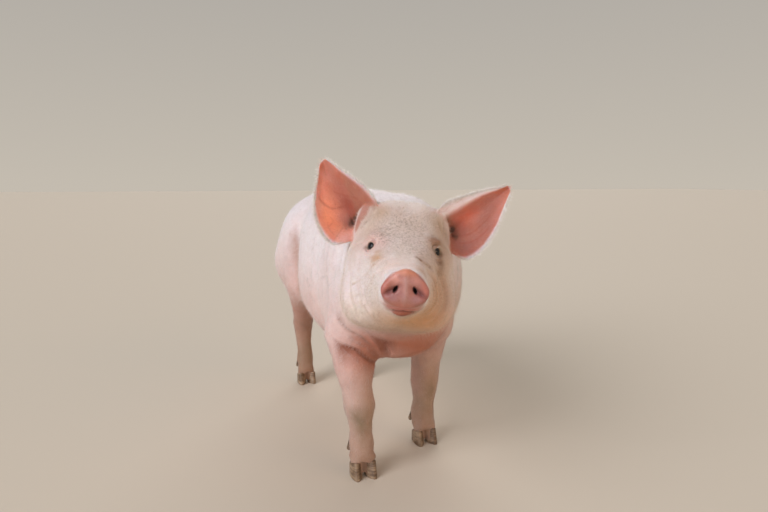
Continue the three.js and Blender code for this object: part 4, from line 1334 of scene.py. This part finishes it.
def skinMaterial():
    material, tree, shader = newMaterial("pigSkin")
    link = tree.links.new
    place = addNode(tree, "TexCoord").outputs["Object"]
    tone = surfaceValue(tree, "tone", "Color")
    for scale, detail, roughness, low, high, share in skinLayers:
        grain = noiseOver(tree, place, Scale=scale, Detail=detail, Roughness=roughness)
        if isinstance(share, str):
            share = surfaceValue(tree, share)
        tone = multiplied(tree, tone, tinted(tree, grain, low, high), share)
    link(tone, shader.inputs["Base Color"])
    # fine hair lies along the body, so its bump is drawn out that way
    lying = stretched(tree, place, skinFinish["hairStretch"])
    hair = noiseOver(tree, lying, Scale=620.0, Detail=4.0, Roughness=0.65)
    cells = addNode(tree, "TexVoronoi", Scale=190.0)
    link(place, cells.inputs["Vector"])
    height = addedShare(tree, cells.outputs["Distance"], skinFinish["cellShare"], hair)
    addBump(tree, shader, height, skinFinish["bump"])
    wet, thin = surfaceValue(tree, "bare"), surfaceValue(tree, "thinness")
    link(ranged(tree, wet, *skinFinish["roughness"]), shader.inputs["Roughness"])
    link(ranged(tree, thin, *skinFinish["translucence"]), shader.inputs["Subsurface Weight"])
    setSockets(shader, skinFinish["sockets"])
    return material


skinMesh.materials.clear()
skinMesh.materials.append(skinMaterial())
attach(skinPiece, "root")
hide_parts(*flesh, "tail", "ear_right", "ear_left")

# eyes
eyeball = {
    "rings": 32, "segments": 48, "gaze": (0.45, 0, 0.02), "ringSpan": 1.15,
    "bands": [  # shades by share of the ring: the pupil, the back, then those between
        (0.30, (0.004, 0.004, 0.006)), (1.0, (0.16, 0.10, 0.08)), (0.40, (0.006, 0.007, 0.009)),
        (0.70, (0.010, 0.012, 0.014)), (0.80, (0.008, 0.006, 0.006)),
    ],
    "sockets": {"Roughness": 0.16, "Specular IOR Level": 0.2, "Coat Weight": 0.14, "Coat Roughness": 0.06},
}


def eyeMaterial():
    material, tree, shader = newMaterial("pigEye")
    place = addNode(tree, "TexCoord").outputs["Object"]
    streak = noiseOver(tree, place, Scale=900.0, Detail=2.0)
    shifted = addedShare(tree, streak, 0.10, surfaceValue(tree, "ring"))
    tree.links.new(tinted(tree, shifted, *eyeball["bands"]), shader.inputs["Base Color"])
    setSockets(shader, eyeball["sockets"])
    return material


eyeSurface = eyeMaterial()
for side, sign in sides.items():
    ball = bmesh.new()
    bmesh.ops.create_uvsphere(ball, u_segments=eyeball["segments"], v_segments=eyeball["rings"], radius=1)
    mesh = meshOf(ball, "eyeball" + side.capitalize())
    grid = pointsOf(mesh) / 1000
    along, over, out = eyeAxes(sign)
    gaze = out * 0.9 + np.array(eyeball["gaze"])
    gaze /= np.linalg.norm(gaze)
    first = unit(np.cross(gaze, [0, 0, 1.0])[None])[0]
    second = np.cross(gaze, first)
    turned = grid @ np.array([first, second, gaze])
    ring = np.arccos(np.clip(grid[:, 2], -1, 1)) / eyeball["ringSpan"]
    radius = (eye["radius"] - eye["sunk"]) * (1 + eye["bulge"] * ramp(0.75, 0.2, ring))
    putPoints(mesh, fromHead(turned * radius[:, None]) - headPlace + eyePlace[side])
    facedOut(mesh)
    putValue(mesh, "ring", ring)
    smoothShaded(mesh)
    mesh.materials.append(eyeSurface)
    piece = newObject("eyeball" + side.capitalize(), mesh)
    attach(piece, "root")
    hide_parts("eye_" + side)
print("eyes made")

# claws
clawLook = {
    "voxel": 1.3, "rounds": 7, "layers": (0.35, 0.35, 4.0),
    "horn": ((0.3, (0.14, 0.085, 0.05)), (0.72, (0.46, 0.33, 0.22))),
    "dirt": ((0.40, (0.45, 0.38, 0.32)), (0.62, (1, 1, 1))), "bump": 0.0012,
}


def hornMaterial():
    material, tree, shader = newMaterial("clawHorn")
    place = addNode(tree, "TexCoord").outputs["Object"]
    layers = stretched(tree, place, clawLook["layers"])
    grown = noiseOver(tree, layers, Scale=70.0, Detail=4.0, Roughness=0.6)
    dirt = tinted(tree, noiseOver(tree, place, Scale=45.0, Detail=6.0), *clawLook["dirt"])
    dirty = multiplied(tree, tinted(tree, grown, *clawLook["horn"]), dirt)
    tree.links.new(dirty, shader.inputs["Base Color"])
    addBump(tree, shader, grown, clawLook["bump"])
    setSockets(shader, {"Roughness": 0.5})
    return material


horn = hornMaterial()
for kind in ("fore", "hind"):
    for side in sides:
        nodes = [n for n in claws + dewclaws if n.startswith(kind) and f"_{side}_" in n]
        mesh = remeshed(cadCopy(nodes, 0.1), clawLook["voxel"])
        shaped = relax(pointsOf(mesh), edgesOf(mesh), 0.5, clawLook["rounds"])
        shaped[:, 2] = np.maximum(shaped[:, 2] - 0.3 * (shaped[:, 2] < 6), 0)
        putPoints(mesh, shaped)
        smoothShaded(mesh)
        mesh.materials.append(horn)
        piece = newObject("claws" + kind.capitalize() + side.capitalize(), mesh)
        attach(piece, "root")
        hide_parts(*nodes)
print("claws made")


# the lie of the coat
earLie = 0.8  # radians above level


def lieAt(points, normals, onEar):
    p = points - bodyShift
    q = toHead(points)
    inHead = ramp(-150, -80, q[:, 0])[:, None]
    legward = (ramp(330, 230, p[:, 2]))[:, None] * (1 - inHead)
    lie = np.tile([0.0, 1.0, -0.45], (len(points), 1))
    lie[:, 0] += 0.25 * np.sign(p[:, 0]) * ramp(480, 620, p[:, 2])
    lie = lie * (1 - legward) + np.array([0.0, 0.22, -1.0]) * legward
    face = np.column_stack([-np.ones(len(q)), 0.35 * np.tanh(q[:, 1] / 30), -0.35 * ramp(0, -60, q[:, 2])])
    lie = lie * (1 - inHead) + (face @ headTurn.T) * inHead
    close, t, s, side = onEar.T
    outwards = np.zeros((len(q), 3))
    outwards[:, 1], outwards[:, 2] = np.sign(q[:, 1]) * np.cos(earLie), np.sin(earLie)
    outwards[:, 2] -= 0.9 * ramp(0.5, 0.0, s)
    outwards[:, 2] += 0.5 * ramp(0.6, 1.0, s)
    lie = lie * (1 - close[:, None]) + (outwards @ headTurn.T) * close[:, None]
    lie += 0.22 * np.column_stack([waves(p, 160, 41), waves(p, 160, 42), waves(p, 160, 43)])
    lie -= normals * (lie * normals).sum(1, keepdims=True)
    return unit(lie)


# the coat: single stiff hairs, each a slim three-sided cone
coat = {
    "tone": (0.89, 0.88, 0.92), "headTone": (0.89, 0.78, 0.66), "toneShare": 0.50, "rimTone": 0.95,
    "rimWhite": 0.95, "thinLoss": 0.7, "hollowBare": 0.85,
    "darkShare": 0.4, "dark": (0.50, 0.47, 0.42), "wander": 0.22, "sunk": 0.3,
    "whiskers": {"share": 0.08, "longer": 2.3, "below": -45},
    "patch": 0.0028, "most": 49000,  # size on the map, and the most hairs in a piece
}
coatPieces = {  # hairs for each square centimetre, length, root radius, how far it stands up
    "coatTrunkRight": {"density": 11.0, "length": (10, 18), "radius": 0.18, "stand": 0.08},
    "coatTrunkLeft": {"density": 11.0, "length": (10, 18), "radius": 0.18, "stand": 0.08},
    "coatNeck": {"density": 16.0, "length": (9, 18), "radius": 0.17, "stand": 0.10},
    "coatHead": {"density": 26.0, "length": (5, 10), "radius": 0.15, "stand": 0.14},
    "coatLegs": {"density": 16.0, "length": (5, 11), "radius": 0.17, "stand": 0.11},
    "coatEars": {"density": 28.0, "length": (4, 9), "radius": 0.13, "stand": 0.22},
    "coatFace": {"density": 40.0, "length": (3.5, 7), "radius": 0.12, "stand": 0.15},
}


def regionOf(points, onEar):
    p = points - bodyShift
    q = toHead(points)
    region = np.where(p[:, 0] > spineX(p[:, 1]), 1, 0)
    region = np.where((p[:, 1] < -395) | (q[:, 0] > -160), 2, region)
    region = np.where((p[:, 2] < 290) & (q[:, 0] < -160), 4, region)
    region = np.where(q[:, 0] > -104, 3, region)
    region = np.where(q[:, 0] > -34, 6, region)
    return np.where(onEar[:, 0] > 0.5, 5, region)


def unwrapAt(points, onEar):
    # each piece's share of the skin laid flat: round the body or limb one way, along it the other
    p = points - bodyShift
    q = toHead(points)
    region = regionOf(points, onEar)
    turnTrunk = np.arctan2(p[:, 0] - spineX(p[:, 1]), p[:, 2] - 430)
    flat = np.column_stack([np.abs(turnTrunk) / math.pi, (p[:, 1] + 460) / 960])
    neckTurn = (np.arctan2(p[:, 0] + 20, p[:, 2] - 450) / math.pi + 1) / 2
    flat = np.where((region == 2)[:, None], np.column_stack([neckTurn, (p[:, 1] + 620) / 300]), flat)
    headTurnShare = (np.arctan2(q[:, 1], q[:, 2] + 35) / math.pi + 1) / 2
    headFlat = np.column_stack([headTurnShare, (q[:, 0] + 110) / 290])
    flat = np.where(((region == 3) | (region == 6))[:, None], headFlat, flat)
    leg = np.zeros(len(p))
    turnLeg = np.zeros(len(p))
    best = np.full(len(p), 1e9)
    for i, (footX, footY) in enumerate(footPlaces.values()):
        d = np.hypot(p[:, 0] - footX, p[:, 1] - footY)
        closer = d < best
        best = np.where(closer, d, best)
        leg = np.where(closer, i, leg)
        turnLeg = np.where(closer, np.arctan2(p[:, 0] - footX, p[:, 1] - footY), turnLeg)
    legFlat = np.column_stack([(leg + (turnLeg / math.pi + 1) * 0.48) / 4, p[:, 2] / 330])
    flat = np.where((region == 4)[:, None], legFlat, flat)
    quarter = (q[:, 1] > 0) + 2.0 * (onEar[:, 3] > 0)
    earFlat = np.column_stack([(quarter + 0.04 + 0.9 * onEar[:, 2]) / 4, onEar[:, 1]])
    flat = np.where((region == 5)[:, None], earFlat, flat)
    return np.clip(0.01 + 0.97 * flat, 0.004, 0.99)


def hairTemplate():
    cone = bmesh.new()
    bmesh.ops.create_cone(cone, cap_ends=True, segments=3, radius1=1, radius2=0, depth=1)
    bmesh.ops.remove_doubles(cone, verts=cone.verts, dist=1e-4)
    bmesh.ops.triangulate(cone, faces=cone.faces)
    shape = np.array([v.co for v in cone.verts]) + [0, 0, 0.5]
    faces = np.array([[v.index for v in f.verts] for f in cone.faces])
    cone.free()
    return shape, faces


def coatMaterial():
    material, tree, shader = newMaterial("pigBristle")
    place = addNode(tree, "TexCoord").outputs["Object"]
    vary = noiseOver(tree, place, Scale=260.0, Detail=2.0)
    shade = tinted(tree, vary, (0.35, (0.80, 0.76, 0.72)), (0.65, (1.05, 1.04, 1.02)))
    tone = multiplied(tree, surfaceValue(tree, "tone", "Color"), shade)
    tree.links.new(tone, shader.inputs["Base Color"])
    setSockets(shader, {"Roughness": 0.42})
    return material


bristle = coatMaterial()
hairShape, hairFaces = hairTemplate()


def hairPiece(name, root, normal, axis, length, radius, tone, flat):
    across = unit(np.cross(axis, normal))
    third = np.cross(axis, across)
    basis = np.stack([across * radius[:, None], third * radius[:, None], axis * length[:, None]], 1)
    start = root - normal * coat["sunk"]
    vertices = (hairShape @ basis + start[:, None, :]).reshape(-1, 3)
    faces = (hairFaces[None] + (np.arange(len(root)) * len(hairShape))[:, None, None]).reshape(-1, 3)
    mesh = bpy.data.meshes.new(name)
    mesh.from_pydata((vertices / 1000).tolist(), [], faces.tolist())
    putColour(mesh, "tone", np.repeat(tone, len(hairShape), 0))
    corner = (np.array([(0, 0), (1, 0), (0.5, 1), (0.5, 0.4)]) - 0.5) * coat["patch"]
    loops = flat[:, None, :] + corner[None]
    uv = mesh.uv_layers.new(name="OFBake")
    uv.data.foreach_set("uv", loops.reshape(-1, 2)[faces.ravel()].astype(np.float32).ravel())
    mesh.materials.append(bristle)
    piece = newObject(name, mesh)
    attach(piece, "root")
    print(name, len(root), "hairs,", len(faces), "triangles")


def thinCoat(points):
    # chest, chin and legs, where the coat is sparser and its hairs take more of the skin's tone, painted
    # shade included
    p = points - bodyShift
    q = toHead(points)
    share = near(p, (-20, -450, 300), (120, 70, 60)) + 0.7 * near(q, (10, 30, -118), (100, 60, 34))
    share += 0.6 * near(p, (-50, -530, 350), (110, 50, 34))
    return np.clip(share + 0.6 * ramp(310, 200, p[:, 2]), 0, 1)


def bareness(middle, middleEar):
    # share of hairs left out: none on disc, eyes and claws, few in the ear's hollow
    p = middle - bodyShift
    q = toHead(middle)
    bare = ramp(5, 1, discDistance(q)) * (q[:, 0] > 140)
    bare = np.maximum(bare, ramp(12.5, 10.5, eyeDistance(q)))
    bare = np.maximum(bare, near(q, (156, -3, -98), (14, 20, 9)))
    bare = np.maximum(bare, ramp(42, 36, p[:, 2]))
    bare = np.maximum(bare, 0.35 * thinCoat(middle))
    bare = np.maximum(bare, 0.6 * onFlap(middle))
    hollow = (middleEar[:, 0] > 0.5) * (middleEar[:, 3] > 0)
    inside = ramp(0.03, 0.10, middleEar[:, 2]) * ramp(1, 0.9, middleEar[:, 2])
    return np.maximum(bare, coat["hollowBare"] * hollow * inside)


def hairLengths(name, look, root, earShare):
    p = root - bodyShift
    q = toHead(root)
    length = rng.uniform(*look["length"], len(root))
    if name in ("coatHead", "coatFace"):
        length *= 1 + 0.9 * ramp(-30, -110, q[:, 2]) + 0.4 * ramp(-20, -100, q[:, 0])
        length *= 1 - 0.35 * ramp(60, 130, q[:, 0])
        whiskers = coat["whiskers"]
        whisker = (rng.random(len(root)) < whiskers["share"]) & (q[:, 2] < whiskers["below"])
        length = np.where(whisker, length * whiskers["longer"], length)
    if name == "coatEars":
        rim = np.maximum(earEdge(earShare, 0.07, 0.93), ramp(0.86, 0.96, earShare[:, 1]))
        length *= 1 + 0.35 * rim
    if name.startswith("coatTrunk"):
        length *= 1 + 0.4 * near(p, (0, -60, 620), (60, 420, 40))
    if name == "coatLegs":
        length *= 0.75 + 0.5 * ramp(80, 250, p[:, 2])
    return length


def spreadOver(count):
    # even random places on triangles, as shares of their corners
    share = rng.random((count, 2))
    flip = share.sum(1) > 1
    share[flip] = 1 - share[flip]
    return np.column_stack([1 - share.sum(1), share])[:, :, None]


def hairTones(root, earShare):
    onEarHere = earShare[:, 0] > 0.5
    tone = markingsAndShading(root, earShare)
    # the hairs take the tone painted on the skin, painted shade and highlights included, more of it where
    # the coat is thin or that tone dark
    whiteness = coat["toneShare"] * (1 - coat["thinLoss"] * thinCoat(root))
    whiteness *= 0.3 + 0.7 * ramp(0.12, 0.45, tone.mean(1))
    atRim = earEdge(earShare, 0.07, 0.93) * ramp(*rimFrom, earShare[:, 1])
    whiteness = np.maximum(whiteness, coat["rimWhite"] * atRim * onEarHere)
    onHead = ramp(-150, -70, toHead(root)[:, 0])[:, None]
    pale = np.array(coat["tone"]) * (1 - onHead) + np.array(coat["headTone"]) * onHead
    pale = np.where((onEarHere & (atRim > 0.3))[:, None], coat["rimTone"], pale)
    tone = tone + (pale - tone) * whiteness[:, None]
    dark = (rng.random(len(root)) < coat["darkShare"] * speckled(root))[:, None]
    return np.where(dark, tone * coat["dark"], tone) * rng.uniform(0.88, 1.06, (len(root), 1))


def makeCoat():
    skinMesh.calc_loop_triangles()
    corners = np.empty(len(skinMesh.loop_triangles) * 3, np.int32)
    skinMesh.loop_triangles.foreach_get("vertices", corners)
    corners = corners.reshape(-1, 3)
    places = pointsOf(skinMesh)
    normals = normalsOf(skinMesh)
    a, b, c = (places[corners[:, k]] for k in range(3))
    area = np.linalg.norm(np.cross(b - a, c - a), axis=1) / 200  # in square centimetres
    middle = (a + b + c) / 3
    middleEar = onEar[corners].mean(1)
    region = regionOf(middle, middleEar)
    bare = bareness(middle, middleEar)
    onRim = np.maximum(earEdge(middleEar, 0.05, 0.95), ramp(0.95, 1, middleEar[:, 1]))
    onRim *= (middleEar[:, 0] > 0.5) * ramp(*rimFrom, middleEar[:, 1])
    for number, (name, look) in enumerate(coatPieces.items()):
        chosen = np.flatnonzero(region == number)
        expected = area[chosen] * look["density"] * (1 - bare[chosen]) * (1 + 5 * onRim[chosen])
        count = rng.poisson(expected * min(1, 0.99 * coat["most"] / expected.sum()))
        face = np.repeat(chosen, count)
        total = len(face)
        weights = spreadOver(total)
        root = (places[corners[face]] * weights).sum(1)
        normal = unit((normals[corners[face]] * weights).sum(1))
        earShare = (onEar[corners[face]] * weights).sum(1)
        lie = unit(lieAt(root, normal, earShare) + coat["wander"] * rng.normal(size=(total, 3)))
        stand = look["stand"] * rng.uniform(0.4, 1.8, total)
        axis = unit(lie + normal * stand[:, None])
        radius = look["radius"] * rng.uniform(0.75, 1.3, total)
        radius *= 1 + 0.6 * (earShare[:, 0] > 0.5) * earEdge(earShare, 0.05, 0.95)
        tone = hairTones(root, earShare)
        length = hairLengths(name, look, root, earShare)
        hairPiece(name, root, normal, axis, length, radius, tone, unwrapAt(root, earShare))


lash = {"count": 16, "length": (5, 8), "radius": 0.16, "tone": (0.72, 0.60, 0.50)}


def makeLashes():
    roots, normals, axes = [], [], []
    for side, sign in sides.items():
        along, over, out = eyeAxes(sign)
        centre = toHead(eyePlace[side][None])[0]
        for u in np.linspace(-0.78, 0.70, lash["count"]):
            v = 1.12 * math.sqrt(1 - u * u) * eye["upper"]
            u = u * eye["halfLength"]
            w = math.sqrt((eye["radius"] + eye["lidLift"] + 0.4) ** 2 - u * u - v * v)
            roots.append(centre + along * u + over * v + out * w)
            axes.append(out + 0.75 * over - 0.35 * along + 0.12 * rng.normal(size=3))
            normals.append(over)
    total = len(roots)
    toFrame = headTurn.T
    hairPiece(
        "lashes", fromHead(np.array(roots)), np.array(normals) @ toFrame, unit(np.array(axes) @ toFrame),
        rng.uniform(*lash["length"], total), np.full(total, lash["radius"]),
        np.tile(lash["tone"], (total, 1)), 0.1 + 0.8 * rng.random((total, 2)),
    )


makeLashes()
makeCoat()

# floor, lights and camera
floor = bmesh.new()
bmesh.ops.create_grid(floor, x_segments=1, y_segments=1, size=40)
floorMesh = meshOf(floor, "floorSheet")
floorPiece = newObject("floorSheet", floorMesh)
floorMaterial, tree, shader = newMaterial("paleFloor")
setSockets(shader, {"Base Color": (0.66, 0.585, 0.48, 1), "Roughness": 0.9})
floorMesh.materials.append(floorMaterial)

lights = [  # name, place and target in metres, width of the light in degrees, power, colour
    ("keyLight", (-3.2, -1.7, 2.4), (0.0, -0.1, 0.4), 38, 2.1, (1.0, 0.985, 1.03)),
    ("warmFill", (1.7, -2.5, 0.75), (0.0, -0.2, 0.35), 50, 0.75, (1.0, 0.62, 0.33)),
    ("backLight", (0.9, 2.3, 2.3), (0.0, -0.2, 0.6), 40, 0.9, (1.0, 0.98, 0.95)),
]
for name, place, target, width, power, shade in lights:
    light = bpy.data.lights.new(name, "SUN")
    light.energy, light.color, light.angle = power, shade, math.radians(width)
    lamp = newObject(name, light)
    lamp.location = place
    lamp.rotation_euler = (Vector(target) - Vector(place)).to_track_quat("-Z", "Y").to_euler()

world = bpy.data.worlds.new("studio")
world.use_nodes = True
sky = world.node_tree
skyPlace = addNode(sky, "TexCoord").outputs["Generated"]
skyHeight = addNode(sky, "SeparateXYZ")
sky.links.new(skyPlace, skyHeight.inputs[0])
skyTone = tinted(sky, skyHeight.outputs["Z"], (0.0, (0.55, 0.50, 0.43)), (0.9, (0.22, 0.235, 0.26)))
sky.links.new(skyTone, sky.nodes["Background"].inputs["Color"])
bpy.context.scene.world = world
bpy.context.scene.view_settings.view_transform = "Standard"

view = {"place": (-457.0, -1585.0, 640.0), "heading": -18.8, "pitch": 7.1, "lens": 28.125}
cameraData = bpy.data.cameras.new("camera")
cameraData.lens, cameraData.sensor_width = view["lens"], 36.0
camera = newObject("camera", cameraData)
camera.location = (np.array(view["place"]) + bodyShift) / 1000
camera.rotation_euler = (math.radians(90 - view["pitch"]), 0, math.radians(view["heading"]))
bpy.context.scene.camera = camera
